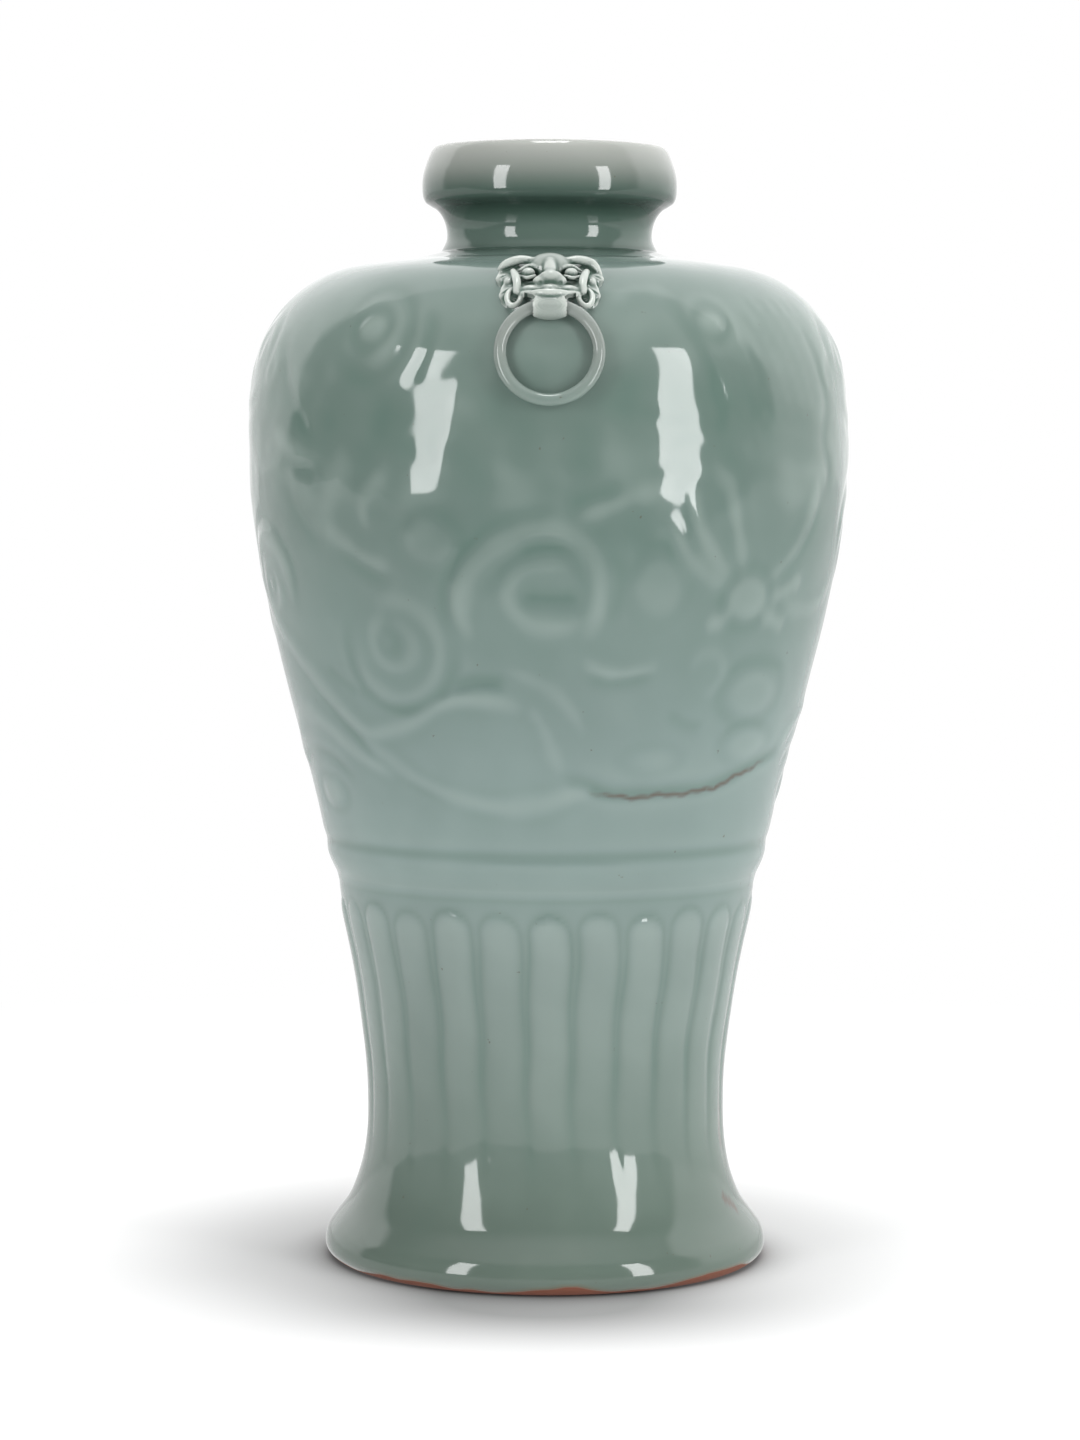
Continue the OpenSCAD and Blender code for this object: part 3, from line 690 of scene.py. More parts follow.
class Tree:
    """A node tree, with a short way to add each kind of node that is used here."""

    def __init__(self, owner):
        owner.use_nodes = True
        self.nodes, self.links = owner.node_tree.nodes, owner.node_tree.links

    def fill(self, node, inputs):
        """Joins or sets inputs of a node. A colour is given without its alpha."""
        for key, value in inputs.items():
            socket = node.inputs[key]
            if isinstance(value, bpy.types.NodeSocket):
                self.links.new(value, socket)
            elif socket.type == "RGBA":
                socket.default_value = (*value, 1)
            else:
                socket.default_value = value
        return node

    def add(self, kind, inputs=None):
        return self.fill(self.nodes.new(kind), inputs or {})

    def shader(self, kind, inputs=None):
        return self.add(kind, inputs).outputs[0]

    def place(self):
        """Place on the object, in metres."""
        return self.add("ShaderNodeTexCoord").outputs["Object"]

    def split(self, vector):
        return self.add("ShaderNodeSeparateXYZ", {0: vector}).outputs

    def math(self, operation, *values):
        node = self.add("ShaderNodeMath")
        node.operation = operation
        return self.fill(node, dict(enumerate(values))).outputs[0]

    def vector(self, operation, inputs, output="Vector"):
        node = self.add("ShaderNodeVectorMath")
        node.operation = operation
        return self.fill(node, inputs).outputs[output]

    def mapped(self, source, low, high, to_low=0.0, to_high=1.0, smooth=False):
        """The source's span from low to high, stretched over to_low to to_high and held beyond it."""
        node = self.add("ShaderNodeMapRange", {"Value": source, "From Min": low, "From Max": high,
                                               "To Min": to_low, "To Max": to_high})
        node.interpolation_type = "SMOOTHSTEP" if smooth else "LINEAR"
        return node.outputs["Result"]

    def mixed(self, factor, a, b):
        node = self.add("ShaderNodeMix")
        node.data_type = "RGBA"
        return self.fill(node, {0: factor, 6: a, 7: b}).outputs[2]

    def ramp(self, factor, stops):
        node = self.add("ShaderNodeValToRGB", {0: factor})
        elements = node.color_ramp.elements
        while len(elements) < len(stops):
            elements.new(0.5)
        for element, (at, colour) in zip(elements, stops):
            element.position = at
            element.color = (*colour, 1)
        return node.outputs["Color"]

    def noise(self, where, scale, detail=3.0, roughness=0.5):
        inputs = {"Vector": where, "Scale": scale, "Detail": detail, "Roughness": roughness}
        return self.add("ShaderNodeTexNoise", inputs).outputs["Fac"]

    def attribute(self, name):
        node = self.add("ShaderNodeAttribute")
        node.attribute_name = name
        return node.outputs["Fac"]

    def bump(self, height, strength, distance):
        inputs = {"Height": height, "Strength": strength, "Distance": distance}
        return self.add("ShaderNodeBump", inputs).outputs["Normal"]

    def blended(self, factor, a, b):
        return self.shader("ShaderNodeMixShader", {0: factor, 1: a, 2: b})

    def by_ray(self, plain, mirrored, seen):
        """One shader for plain light, one for reflections and one for the camera."""
        path = self.add("ShaderNodeLightPath").outputs
        unseen = self.blended(path["Is Glossy Ray"], plain, mirrored)
        return self.blended(path["Is Camera Ray"], unseen, seen)


def new_material(name):
    material = bpy.data.materials.new(name)
    tree = Tree(material)
    return material, tree, tree.nodes["Principled BSDF"]


PALE_GLAZE = (0.40, 0.47, 0.435)
DARK_GLAZE = (0.085, 0.15, 0.122)
STAIN_BROWN = (0.105, 0.062, 0.048)
SPECK_BROWN = (0.10, 0.085, 0.06)
RUST = (0.16, 0.11, 0.06)
BRICK_RED = (0.185, 0.062, 0.034)


def glaze(name, by_height, pool_gain=1.0, pale=PALE_GLAZE, dark=DARK_GLAZE, bare_edge=False):
    """Celadon glaze: colour by height on the vase, which also holds painted shade and light, darker where it
    pools, paler where it is thin; on the masks the pale crests are also painted highlights.
    """
    material, tree, shader = new_material(name)
    place = tree.place()
    height = tree.split(place)["Z"]
    colour = tree.ramp(tree.mapped(height, 0.0, crest[1] * MM), by_height)
    cloudy = tree.mapped(tree.noise(place, 14.0), 0.3, 0.7, 0.93, 1.06)
    colour = tree.vector("SCALE", {0: colour, "Scale": cloudy})
    if pool_gain:
        pool = tree.attribute("pool")
        colour = tree.mixed(tree.mapped(pool, 0.0, -0.35, 0.0, 0.6 * pool_gain), colour, dark)
        colour = tree.mixed(tree.mapped(pool, 0.0, 0.4, 0.0, 0.36 * pool_gain), colour, pale)
        browned = tree.mapped(tree.attribute("stain"), 0.1, 0.9, 0.0, 0.7)
        colour = tree.mixed(browned, colour, STAIN_BROWN)
    speck = tree.mapped(tree.noise(place, 420.0, 2.0, 0.6), 0.745, 0.79, 0.0, 0.6)
    colour = tree.mixed(speck, colour, SPECK_BROWN)
    roughness = 0.07
    if bare_edge:
        # The glaze ends in a wavy line, and the clay under it has burnt red
        lowest, highest = 0.0004, 0.0030
        limit = tree.mapped(tree.noise(place, 26.0, 2.0), 0.35, 0.62, lowest, highest)
        over = tree.math("SUBTRACT", height, limit)
        bare = tree.mapped(over, 0.0004, -0.0001)
        colour = tree.mixed(tree.mapped(over, 0.0014, 0.0002, 0.0, 0.5), colour, RUST)
        colour = tree.mixed(bare, colour, BRICK_RED)
        roughness = tree.mapped(bare, 0.0, 1.0, roughness, 0.8)
    ripple = tree.bump(tree.noise(place, 55.0, 2.0), 0.10, 0.0012)
    tree.fill(shader, {"Base Color": colour, "Roughness": roughness, "IOR": 1.52, "Normal": ripple})
    return material


def clay_material():
    """Bare fired clay: brick red, with fine grit and the rings that turning leaves."""
    material, tree, shader = new_material("bare_clay")
    place = tree.place()
    marks = tree.add("ShaderNodeTexWave", {"Vector": place, "Scale": 75.0, "Distortion": 1.2})
    marks.wave_type = "RINGS"
    marks.rings_direction = "Z"
    rough = tree.math("ADD", tree.noise(place, 900.0), marks.outputs["Fac"])
    colour = tree.ramp(tree.noise(place, 30.0), [(0.3, (0.36, 0.13, 0.055)), (0.7, (0.52, 0.24, 0.12))])
    grain = tree.bump(rough, 0.35, 0.0003)
    tree.fill(shader, {"Base Color": colour, "Roughness": 0.85, "Normal": grain})
    return material


# Glaze colours as shares of the vase's height and linear red, green and blue
# The ramp also paints light and shade: darker over the upper belly, where less light falls, and lighter on
# the lower body, as if lit from the table below.
CELADON_AND_SHADE_BY_HEIGHT = [
    (0.0, (0.122, 0.163, 0.135)), (0.05, (0.115, 0.158, 0.131)), (0.09, (0.132, 0.18, 0.152)),
    (0.13, (0.15, 0.203, 0.176)), (0.30, (0.205, 0.265, 0.245)), (0.36, (0.205, 0.275, 0.258)),
    (0.47, (0.183, 0.248, 0.233)), (0.57, (0.155, 0.217, 0.197)), (0.66, (0.132, 0.187, 0.166)),
    (0.76, (0.133, 0.187, 0.163)), (0.84, (0.154, 0.211, 0.186)), (0.896, (0.165, 0.222, 0.202)),
    (0.905, (0.06, 0.10, 0.08)),
]
celadon = glaze("celadon_glaze", CELADON_AND_SHADE_BY_HEIGHT, 0.85)
leg_glaze = glaze("leg_glaze", CELADON_AND_SHADE_BY_HEIGHT, 0.75, bare_edge=True)
# The dark band just under the lip is painted shade under its overhang, and the paler top of the lip is partly
# painted light from above.
MOUTH_AND_SHADE_BY_HEIGHT = [
    (0.0, (0.12, 0.17, 0.14)), (0.903, (0.04, 0.075, 0.058)), (0.911, (0.11, 0.165, 0.138)),
    (0.924, (0.11, 0.165, 0.138)), (0.937, (0.045, 0.08, 0.062)), (0.944, (0.026, 0.05, 0.039)),
    (0.958, (0.075, 0.115, 0.095)), (0.972, (0.178, 0.203, 0.182)), (1.0, (0.37, 0.38, 0.355)),
]
mouth_glaze = glaze("mouth_glaze", MOUTH_AND_SHADE_BY_HEIGHT)
SPRIG_BY_HEIGHT = [(0.0, (0.175, 0.222, 0.198)), (1.0, (0.20, 0.242, 0.218))]
# The masks' glaze turns much paler on the crests than the vase's does: these pale crests are painted
# highlights as well as thin glaze.
sprig_glaze = glaze("sprig_glaze", SPRIG_BY_HEIGHT, 2.1, (0.56, 0.60, 0.56), (0.085, 0.135, 0.108))
RING_BY_HEIGHT = [(0.0, (0.17, 0.225, 0.20)), (0.765, (0.175, 0.235, 0.208)),
                  (0.82, (0.235, 0.265, 0.245)), (1.0, (0.26, 0.285, 0.265))]
ring_glaze = glaze("ring_glaze", RING_BY_HEIGHT, pool_gain=0)
bare_clay = clay_material()


# Sections of the vase

def finish_piece(piece, material, node, body):
    piece.data.materials.append(material)
    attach(piece, body)
    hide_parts(node)


def foot_piece():
    lap_r = band[0] - WALL / 2
    rings = [(lap_r, band[1]), (lap_r, band[1] + LAP)]
    rings += inside_rings(band[1] + LAP, seat_z + 30, 8)
    rings += [(pocket_r, seat_z + 28), (pocket_r, seat_z), (pocket_r - seat_w, seat_z),
              (pocket_r - seat_w, hollow_h), (pocket_r + 2, hollow_h), (foot_edge[0] - stand_w, 0.15)]
    return lathe_piece("foot_section_glazed", 0, BAND_ROW, rings)


def body_piece():
    rings = [(flank[0] - WALL / 2, flank[1]), (flank[0] - WALL / 2, flank[1] + LAP)]
    rings += inside_rings(flank[1] + LAP, band[1] + LAP, 9)
    rings += [(band[0] - WALL / 2, band[1] + LAP), (band[0] - WALL / 2, band[1])]
    return lathe_piece("body_section_glazed", BAND_ROW, FLANK_ROW, rings)


def shoulder_piece():
    rings = [(tongue_r, neck_foot[1]), (tongue_r, ceiling_z)]
    rings += inside_rings(ceiling_z, flank[1] + LAP, 18)
    rings += [(flank[0] - WALL / 2, flank[1] + LAP), (flank[0] - WALL / 2, flank[1])]
    return lathe_piece("shoulder_section_glazed", FLANK_ROW, NECK_ROW, rings)


def mouth_piece():
    rings = [(bore_top[0], 325.0), (bore_top[0], ceiling_z), (tongue_r, ceiling_z), (tongue_r, neck_foot[1])]
    return lathe_piece("mouth_and_neck_glazed", NECK_ROW, len(ROW_S) - 1, rings, skip=2)


finish_piece(foot_piece(), leg_glaze, "foot_section", "vase")
finish_piece(body_piece(), celadon, "body_section", "vase")
finish_piece(shoulder_piece(), celadon, "shoulder_section", "vase")
finish_piece(mouth_piece(), mouth_glaze, "mouth_and_neck", "vase")

# Masks, modelled as soft clay forms on the round of the shoulder

# Mask: radius of its lower edge on the shoulder, and the room left round the ring's bar
MASK_LOW_R = 85.96
BITE_GAP = 0.5
# Ring: radius to the middle of its bar, radius of the bar, and the height where it lies on the shoulder
RING_R, RING_TUBE = 14.5, 1.9
RING_Z = 283.7
# Distance given to places that no form reaches
FAR_OFF = 9.0
hinge = next(j for j in frame["joints"] if j["name"] == "front_ring_lift")
PIVOT = np.array([0.0, hinge["pos_m"][1] / MM, hinge["pos_m"][2] / MM])
over_belly = (LINE.s > LINE.near(belly)) & (LINE.s < S_NECK_FOOT)
SHOULDER_R, SHOULDER_Z = LINE.points[over_belly][::-1].T
SHOULDER_FALL = np.gradient(SHOULDER_Z, SHOULDER_R)


def shoulder_frame(x, m):
    """Place on the shoulder, m inwards from the mask's lower edge, with the ways across, up and out."""
    y = -(MASK_LOW_R - m)
    r = math.hypot(x, y)
    z = float(np.interp(r, SHOULDER_R, SHOULDER_Z))
    fall = float(np.interp(r, SHOULDER_R, SHOULDER_FALL))
    out = np.array([-fall * x / r, -fall * y / r, 1.0])
    out /= np.linalg.norm(out)
    across = np.array([-y / r, x / r, 0.0])
    return np.array([x, y, z]), across, np.cross(out, across), out


def on_mask(x, m, h):
    place, _, _, out = shoulder_frame(x, m)
    return place + h * out


class Moulded:
    """Clay forms blended on a fine grid. The field is the distance to their surface in mm."""

    def __init__(self, low, high, step):
        self.low, self.step = np.array(low, float), step
        axes = [np.arange(a, b, step) for a, b in zip(low, high)]
        self.grid = np.stack(np.meshgrid(*axes, indexing="ij"), -1)
        self.field = np.full(self.grid.shape[:3], FAR_OFF)

    def window(self, low, high):
        first = np.maximum(0, np.floor((low - self.low) / self.step).astype(int))
        last = np.floor((high - self.low) / self.step).astype(int) + 2
        return tuple(slice(a, b) for a, b in zip(first, last))

    def join(self, at, distance, blend):
        old = self.field[at]
        h = np.clip(0.5 + 0.5 * (old - distance) / blend, 0, 1)
        self.field[at] = old * (1 - h) + distance * h - blend * h * (1 - h)

    def carve(self, at, distance, blend):
        old = self.field[at]
        h = np.clip(0.5 + 0.5 * (-distance - old) / blend, 0, 1)
        self.field[at] = old * (1 - h) - distance * h + blend * h * (1 - h)

    def blob(self, x, m, h, radii, turn=0.0, blend=0.8, carve=False):
        """An oval lump, or a hollow if carve is true: radii across, up the mask and outwards."""
        place, across, up, out = shoulder_frame(x, m)
        place = place + h * out
        c, n = math.cos(math.radians(turn)), math.sin(math.radians(turn))
        axes = np.array([c * across + n * up, c * up - n * across, out])
        reach = max(radii) + 2 * blend
        at = self.window(place - reach, place + reach)
        local = (self.grid[at] - place) @ axes.T
        share = np.sqrt(((local / np.array(radii)) ** 2).sum(-1))
        distance = (share - 1) * min(radii)
        (self.carve if carve else self.join)(at, distance, blend)

    def bar(self, places, radius, blend=0.6, carve=False, ends=0.7):
        """A round bar through places (x, m, h), thinner at both ends."""
        points = np.array([on_mask(*p) for p in places])
        p = extended(points)
        t = np.linspace(0, 1, 6)[:-1, None]
        dense = [between(*four, t) for four in zip(p[:-3], p[1:-2], p[2:-1], p[3:])]
        line = np.concatenate(dense + [points[-1:]])
        share = np.linspace(0, 1, len(line))
        radii = radius * (ends + (1 - ends) * np.sin(np.pi * share) ** 0.7)
        reach = radius + 2 * blend
        at = self.window(line.min(0) - reach, line.max(0) + reach)
        where = self.grid[at]
        distance = np.full(where.shape[:3], FAR_OFF)
        for p, q, ra, rb in zip(line[:-1], line[1:], radii[:-1], radii[1:]):
            v = q - p
            t = np.clip(((where - p) @ v) / (v @ v), 0, 1)
            d = np.linalg.norm(where - p - t[..., None] * v, axis=-1) - (ra + (rb - ra) * t)
            distance = np.minimum(distance, d)
        (self.carve if carve else self.join)(at, distance, blend)

    def mesh(self, name):
        """Closed mesh of the zero surface: a point in each crossed cell, a face for each crossed edge."""
        field = self.field
        cells = tuple(n - 1 for n in field.shape)
        total, count = np.zeros((*cells, 3)), np.zeros(cells)
        edges = []
        for axis in range(3):
            a = np.take(field, np.arange(cells[axis]), axis)
            b = np.take(field, np.arange(1, cells[axis] + 1), axis)
            crossed = (a < 0) != (b < 0)
            t = np.where(crossed, a / np.where(crossed, a - b, 1), 0)
            others = [i for i in range(3) if i != axis]
            for du in (0, 1):
                for dv in (0, 1):
                    at = [slice(None)] * 3
                    at[others[0]] = slice(du, du + cells[others[0]])
                    at[others[1]] = slice(dv, dv + cells[others[1]])
                    hit = crossed[tuple(at)]
                    total[..., axis] += t[tuple(at)]
                    total[..., others[0]] += du * hit
                    total[..., others[1]] += dv * hit
                    count += hit
            edges.append((axis, others, crossed, a < 0))
        used = count > 0
        index = np.full(cells, -1)
        index[used] = np.arange(used.sum())
        where = np.argwhere(used)
        points = self.low + self.step * (where + total[used] / count[used][:, None])
        quads = []
        for axis, others, crossed, inside in edges:
            i = np.argwhere(crossed)
            u, v = others
            i = i[(i[:, u] > 0) & (i[:, v] > 0) & (i[:, u] < cells[u]) & (i[:, v] < cells[v])]
            corners = []
            for du, dv in ((1, 1), (0, 1), (0, 0), (1, 0)):
                j = i.copy()
                j[:, u] -= du
                j[:, v] -= dv
                corners.append(index[tuple(j.T)])
            quad = np.stack(corners, 1)
            flip = ~inside[tuple(i.T)] ^ (axis == 1)
            quad[flip] = quad[flip][:, ::-1]
            quads.append(quad)
        mesh = smooth_mesh(name, points * MM, np.concatenate(quads))
        soft = self.field
        for axis in range(3):
            soft = blurred(soft, 2.2, axis)
        # Paler on the crests and darker in the hollows by the glaze's thickness; the strong pale on the
        # crests is also painted highlight.
        pool_gain = 2.5
        give(mesh, "pool", pool_gain * (soft - self.field)[tuple(where.T)])
        mesh.validate()
        return mesh


def mask_plate(clay):
    """Low cushion under the face, with a scalloped mane."""
    x, y, z = np.moveaxis(clay.grid, -1, 0)
    r = np.hypot(x, y)
    over = z - np.interp(r, SHOULDER_R, SHOULDER_Z)
    fall = np.interp(r, SHOULDER_R, SHOULDER_FALL)
    over = over / np.sqrt(1 + fall * fall)
    m = MASK_LOW_R + y
    plan = np.hypot(x / 1.12, m - 10) - 9.6
    scallops = [(11.4, 4.6, 3.3), (12.5, 10.2, 3.2), (10.6, 15.2, 3.0), (5.6, 17.0, 2.6)]
    for at_x, at_m, size in scallops:
        plan = np.minimum(plan, np.hypot(np.abs(x) - at_x, m - at_m) - size)
    thick = 1.4
    rounding = 0.9
    rim = np.clip(1 + plan / rounding, 0, 1)
    clay.field = np.maximum(over - thick + rounding * (1 - np.sqrt(np.clip(1 - rim ** 2, 0, 1))), plan)
    return over


def animal_mask(name):
    """Lion-like mask: a domed forehead, brows, a broad nose, curled cheeks and a jaw round the ring."""
    clay = Moulded((-20.5, -95.5, 290.5), (20.5, -63.5, 317.5), 0.3)
    over = mask_plate(clay)
    # Domed forehead with a tuft over it
    clay.blob(0, 13.2, 1.4, (6.4, 5.2, 3.9))
    clay.blob(0, 17.0, 1.6, (3.4, 2.2, 1.8))
    for side in (-1, 1):
        # Brow, with one end hanging lower than the other
        droop = 0.5 if side < 0 else 2.6
        clay.bar([(side * 4.2, 13.4, 3.4), (side * 8.5, 14.2, 3.4), (side * 12.4, 13.6, 2.8),
                  (side * 14.6, 13.6 - droop, 1.6)], 1.4, ends=0.5)
        # Eye socket, eyeball and two lids
        clay.blob(side * 6.6, 9.4, 1.6, (3.2, 2.4, 1.7), carve=True)
        clay.blob(side * 6.2, 9.4, 2.2, (2.0, 1.7, 1.6), blend=0.35)
        clay.bar([(side * 3.8, 10.6, 3.0), (side * 6.2, 11.8, 2.8), (side * 9.0, 10.6, 2.2)], 0.6, blend=0.4)
        clay.bar([(side * 4.2, 7.6, 2.9), (side * 6.6, 7.2, 2.7), (side * 9.0, 8.6, 2.2)], 0.6, blend=0.4)
        # Cheek bar that runs down into a curl
        clay.bar([(side * 10.6, 10.2, 2.4), (side * 9.8, 7.6, 3.0), (side * 9.4, 5.4, 3.0),
                  (side * 9.6, 3.4, 2.6)], 1.25, ends=0.8)
        turns = [(side * (10.3 + 2.0 * math.cos(a)), 2.7 + 1.9 * math.sin(a), 2.0)
                 for a in np.radians(np.arange(150, 520, 30))]
        clay.bar(turns, 0.85, blend=0.35, ends=0.85)
        clay.blob(side * 10.3, 2.7, 2.4, (0.9, 0.8, 1.2), blend=0.4, carve=True)
        # Mane: fat locks that fan out, with cuts between them
        for at_x, at_m, lean in ((12.2, 4.6, -35), (13.1, 9.6, 5), (11.0, 15.6, 50), (6.2, 17.4, 75)):
            clay.blob(side * at_x, at_m, 0.7, (2.9, 2.0, 1.3), side * lean, blend=0.5)
            clay.bar([(side * (at_x + 2.2), at_m - 0.6, 1.7), (side * (at_x - 0.4), at_m + 0.2, 2.1)], 0.32,
                     blend=0.3, carve=True)
        # Nose wing, nostril, jowl and lip
        clay.blob(side * 2.9, 5.6, 3.0, (2.0, 1.7, 1.6), blend=0.6)
        clay.blob(side * 2.9, 4.4, 4.3, (1.0, 0.8, 0.9), blend=0.35, carve=True)
        clay.blob(side * 5.4, 3.6, 1.9, (3.4, 2.0, 2.0))
        clay.bar([(side * 0.9, 2.5, 3.4), (side * 4.0, 2.0, 3.5), (side * 7.8, 2.7, 2.6)], 1.15, blend=0.4)
        clay.blob(side * 12.0, 8.0, 0.9, (1.6, 2.2, 1.4), blend=0.4)
    # Bridge and tip of the nose, muzzle, and the cut under the nose
    clay.bar([(0, 11.4, 3.6), (0, 8.6, 3.7), (0.2, 6.6, 4.0)], 1.9, ends=0.9)
    clay.blob(0.3, 6.2, 3.8, (3.5, 2.1, 2.0), blend=0.6)
    clay.blob(0, 3.6, 2.4, (3.0, 1.8, 1.8))
    clay.bar([(-4.4, 3.9, 4.3), (0, 3.5, 4.7), (4.4, 3.9, 4.3)], 0.35, blend=0.3, carve=True)
    # Jaw and tongue round the ring's bar. The jaw ends inside the width in which room is cut for the bar
    jaw_half, bite_half = 6.6, 7.5
    offset = clay.grid - (PIVOT + np.array([0, 0.1, -0.1]))
    half_w = 8.2 + 0.25 * np.clip(offset[..., 2], -4, 4)
    upwards = np.where(offset[..., 2] > 0, 1.3, 1.0) * offset[..., 2]
    round_r = np.hypot(offset[..., 1], upwards) / 4.5
    jaw = ((np.abs(offset[..., 0] / half_w) ** 2.0 + round_r ** 2.0) ** 0.5 - 1) * 3.4
    jaw = np.maximum(jaw, np.abs(offset[..., 0]) - jaw_half)
    clay.join(slice(None), jaw, 0.6)
    # Lower lip, and then the room for the ring's bar
    clay.bar([(-7.0, 1.8, 3.4), (-4.2, 0.9, 6.2), (0, 0.4, 7.6), (4.2, 0.9, 6.2), (7.0, 1.8, 3.4)], 1.2,
             blend=0.4, ends=0.6)
    x = clay.grid[..., 0]
    from_hinge = np.hypot(clay.grid[..., 1] - PIVOT[1], clay.grid[..., 2] - PIVOT[2])
    sag = RING_R - np.sqrt(np.clip(RING_R ** 2 - x ** 2, 1, None))
    room = from_hinge - (RING_TUBE + BITE_GAP + sag)
    clay.field = np.maximum(clay.field, -np.where(np.abs(x) < bite_half, room, FAR_OFF))
    sunk = 1.2
    clay.field = np.maximum(clay.field, -sunk - over)
    clay.field[[0, -1]] = FAR_OFF
    clay.field[:, [0, -1]] = FAR_OFF
    clay.field[:, :, [0, -1]] = FAR_OFF
    return clay.mesh(name)


def make_masks():
    mesh = animal_mask("front_mask_moulded")
    turned = mesh.copy()
    turned.name = "rear_mask_moulded"
    turned.transform(Matrix.Rotation(math.pi, 4, "Z"))
    for data, node in ((mesh, "front_mask"), (turned, "rear_mask")):
        finish_piece(placed(data.name, data), sprig_glaze, node, "vase")


def make_ring(name, node, turned):
    """A rolled clay ring whose bar is a little uneven. It hangs along the slope of the shoulder."""
    step = 2.0
    low, high = (float(r_of(RING_Z + d)) for d in (-step, step))
    lean = math.atan2(2 * step, high - low)
    way = np.array([0, -math.cos(lean), math.sin(lean)])
    out = np.array([0, -math.sin(lean), -math.cos(lean)])
    centre = PIVOT - RING_R * way
    around, sides = 180, 28
    a = np.arange(around)[:, None] * 2 * math.pi / around
    b = np.arange(sides)[None, :] * 2 * math.pi / sides
    uneven_r = RING_TUBE * (0.968 + 0.016 * np.sin(3 * a + 1) + 0.012 * np.sin(7 * a + 2.5 + 0.5 * np.cos(b)))
    radial = RING_R + 0.02 * np.sin(2 * a + 0.6) + uneven_r * np.cos(b)
    off = uneven_r * np.sin(b)
    across = np.array([1, 0, 0])
    points = (centre + (radial * np.sin(a))[..., None] * across
              + (radial * np.cos(a))[..., None] * way + off[..., None] * out)
    i, j = np.meshgrid(np.arange(around), np.arange(sides), indexing="ij")
    i2, j2 = (i + 1) % around, (j + 1) % sides
    quads = np.stack([i * sides + j, i2 * sides + j, i2 * sides + j2, i * sides + j2], -1).reshape(-1, 4)
    mesh = smooth_mesh(name, points.reshape(-1, 3) * MM, quads)
    if turned:
        mesh.transform(Matrix.Rotation(math.pi, 4, "Z"))
    mesh.validate()
    finish_piece(placed(name, mesh), ring_glaze, node, node)


make_masks()
make_ring("front_ring_rolled", "front_ring", False)
make_ring("rear_ring_rolled", "rear_ring", True)

disc = frame["nodes"]["base_disc"]
disc.data.materials.clear()
disc.data.materials.append(bare_clay)


# Stage

def make_world():
    """Soft studio: grey light on the clay, white to the camera, a bright back and top in reflections."""
    world = bpy.data.worlds.new("studio")
    bpy.context.scene.world = world
    tree = Tree(world)
    tree.nodes.clear()
    direction = tree.add("ShaderNodeTexCoord").outputs["Generated"]
    height = tree.split(direction)["Z"]
    back_way = (0.208, 0.978, 0.0)
    to_back = tree.vector("DOT_PRODUCT", {0: direction, 1: back_way}, "Value")
    back = tree.math("MULTIPLY", tree.mapped(to_back, 0.11, 0.21, 0.16, 1.12),
                     tree.mapped(height, -0.1, 0.5, 0.9, 1.4))
    bright = tree.math("MAXIMUM", back, tree.mapped(height, 0.6, 0.88))
    soft_light, white = 0.34, 1.0
    plain, mirrored, seen = [
        tree.shader("ShaderNodeBackground", {"Color": (1, 1, 1), "Strength": strength})
        for strength in (soft_light, bright, white)
    ]
    tree.add("ShaderNodeOutputWorld", {"Surface": tree.by_ray(plain, mirrored, seen)})


def floor_material():
    """Pale table: it darkens towards the vase and is white far out. Reflections see it pale."""
    material = bpy.data.materials.new("table")
    tree = Tree(material)
    tree.nodes.clear()
    place = tree.place()
    axes = tree.split(place)
    distance = tree.vector("LENGTH", {0: place}, "Value")
    # Soft shadow round the foot: deepest in front, lighter at the sides, and dark where the foot touches
    shade_start, shade_end, deepest = 0.068, 0.165, 0.80
    near = tree.mapped(distance, shade_start, shade_end, deepest, 0.0, smooth=True)
    ahead = tree.math("DIVIDE", tree.math("MULTIPLY", axes["Y"], -1.0), distance)
    front = tree.math("POWER", tree.math("MAXIMUM", ahead, 0.0), 4.0)
    aside = tree.math("DIVIDE", axes["X"], distance)
    left_share, right_share = 0.44, 0.26
    side = tree.mapped(aside, -1.0, 1.0, left_share, right_share)
    weight = tree.math("MULTIPLY_ADD", tree.math("SUBTRACT", 1.0, side), front, side)
    shade = tree.math("SUBTRACT", 1.0, tree.math("MULTIPLY", weight, near))
    contact_reach = 0.02
    contact = tree.add("ShaderNodeAmbientOcclusion", {"Distance": contact_reach})
    contact.samples = 16
    touch = tree.mapped(contact.outputs["AO"], 0.25, 0.95, 0.2, 1.0)
    # Part of what the camera sees is lit by the lamps, so the vase's own shadow falls there too
    lit_share, lamp_light = 0.4, 0.92
    lit = tree.shader("ShaderNodeBsdfDiffuse", {"Color": tree.math("MULTIPLY", touch, lit_share)})
    rest = tree.math("MAXIMUM", tree.math("SUBTRACT", shade, lamp_light * lit_share), 0.0)
    glow = tree.shader("ShaderNodeEmission", {"Strength": tree.math("MULTIPLY", rest, touch)})
    by_vase = tree.shader("ShaderNodeAddShader", {0: lit, 1: glow})
    white_start, white_end = 0.25, 0.6
    far = tree.mapped(distance, white_start, white_end)
    seen = tree.blended(far, by_vase, tree.shader("ShaderNodeEmission"))
    plain = tree.shader("ShaderNodeBsdfDiffuse", {"Color": (0.9, 0.9, 0.9)})
    # Reflections see the table dark beyond the first of these distances in front, pale within the second
    dark_front, pale_front = -0.62, -0.50
    strength = tree.mapped(axes["Y"], dark_front, pale_front, 0.18, 0.85)
    mirrored = tree.shader("ShaderNodeEmission", {"Strength": strength})
    tree.add("ShaderNodeOutputMaterial", {"Surface": tree.by_ray(plain, mirrored, seen)})
    return material


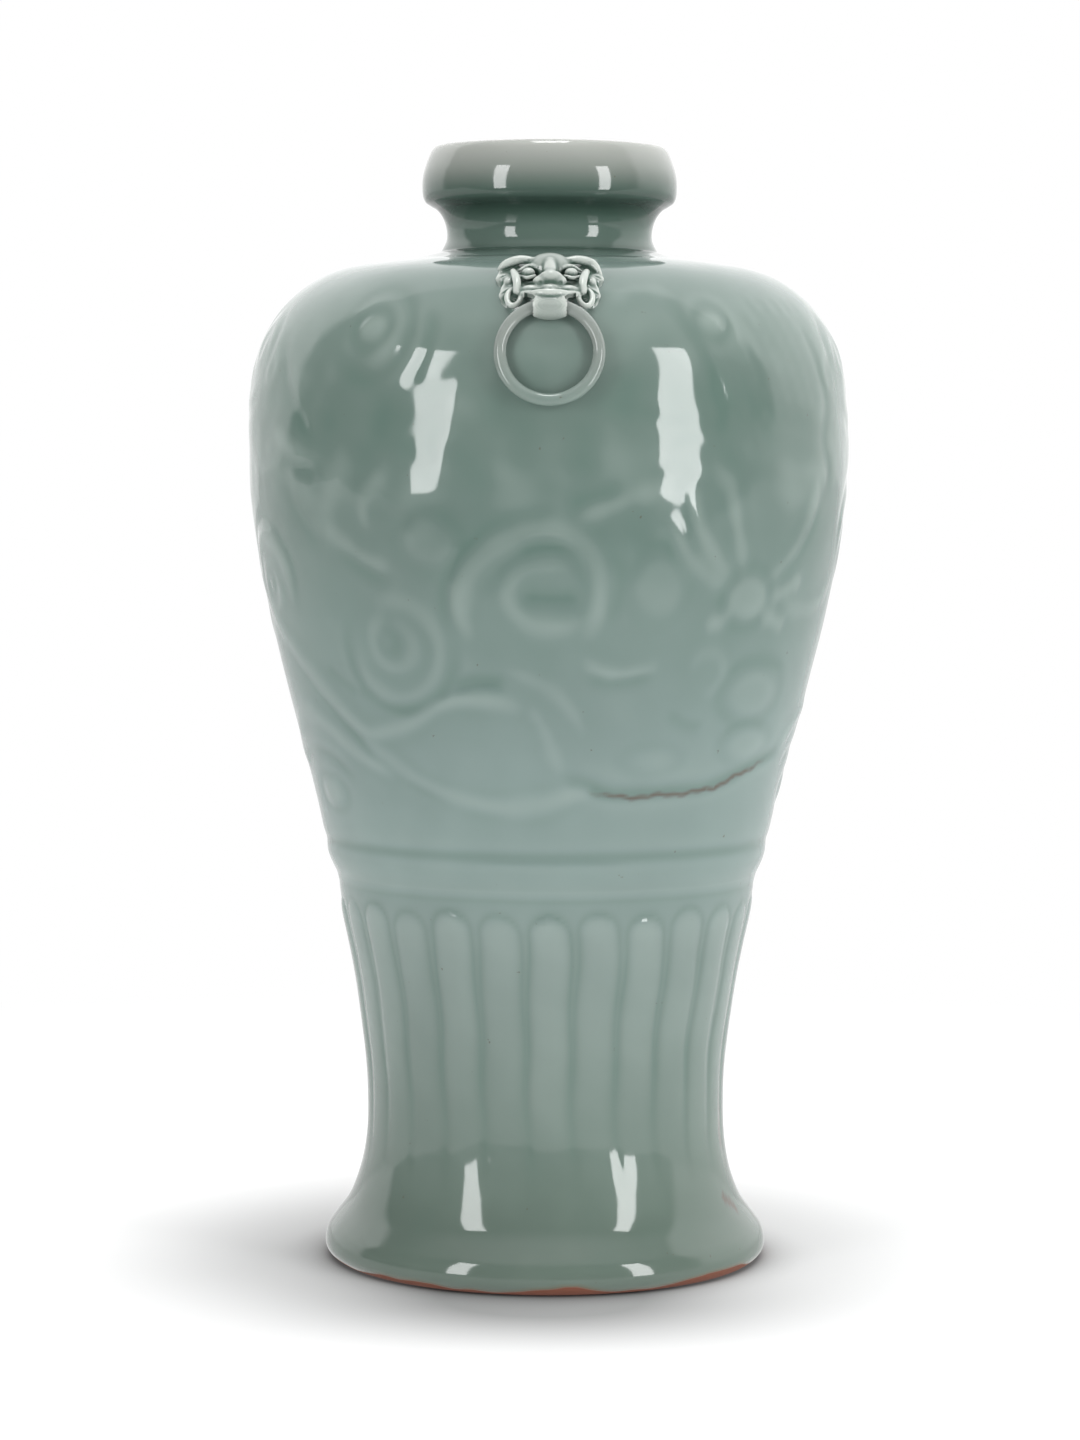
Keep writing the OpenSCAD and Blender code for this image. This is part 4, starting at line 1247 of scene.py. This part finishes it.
def make_floor():
    size = 4.0
    corners = [(-size, -size, 0), (size, -size, 0), (size, size, 0), (-size, size, 0)]
    mesh = bpy.data.meshes.new("table")
    mesh.from_pydata(corners, [], [(0, 1, 2, 3)])
    mesh.materials.append(floor_material())
    placed("table", mesh)


def softbox(name, azimuth, elevation, distance, width, height, power, mirrored):
    """A rectangular lamp that looks at the lower belly."""
    light = bpy.data.lights.new(name, "AREA")
    light.shape = "RECTANGLE"
    light.size, light.size_y = width, height
    light.energy = power
    lamp = placed(name, light)
    a, e = math.radians(azimuth), math.radians(elevation)
    aim = Vector((0, 0, 0.2))
    away = Vector((math.sin(a) * math.cos(e), -math.cos(a) * math.cos(e), math.sin(e)))
    lamp.location = aim + away * distance
    lamp.rotation_mode = "QUATERNION"
    lamp.rotation_quaternion = away.to_track_quat("Z", "Y")
    lamp.visible_glossy = mirrored


# Name, azimuth, elevation, distance, width, height, power, and whether reflections show the lamp
LAMPS = [
    ("strip_left", -45, 14, 1.2, 0.27, 0.86, 6.6, True),
    ("strip_right", 50, 10, 1.2, 0.24, 0.98, 7.5, True),
    ("above_front", 2, 81, 1.3, 0.42, 0.4, 5.5, True),
    ("overhead", 150, 78, 1.3, 0.8, 0.8, 6.0, False),
    ("back_left", -140, 30, 1.4, 0.6, 0.6, 1.8, False),
    ("side_right", 88, 8, 1.3, 0.5, 0.6, 3.2, False),
    ("back_right", 130, 25, 1.4, 0.6, 0.6, 5.0, False),
]


def make_camera():
    """The photograph's view: 4 degrees down from 1.26 m, a little to the left."""
    optics = bpy.data.cameras.new("camera")
    optics.sensor_width = 36
    optics.lens = 100
    optics.clip_start, optics.clip_end = 0.05, 20
    camera = placed("camera", optics)
    camera.location = (-0.0023, -1.26275, 0.25833)
    tilt_down, roll = 4.0, 0.26
    camera.rotation_mode = "XYZ"
    look = Matrix.Rotation(math.radians(90 - tilt_down), 4, "X") @ Matrix.Rotation(math.radians(roll), 4, "Z")
    camera.rotation_euler = look.to_euler("XYZ")
    bpy.context.scene.camera = camera


make_camera()
make_world()
make_floor()
for lamp in LAMPS:
    softbox(*lamp)

bpy.context.scene.view_settings.view_transform = "Standard"
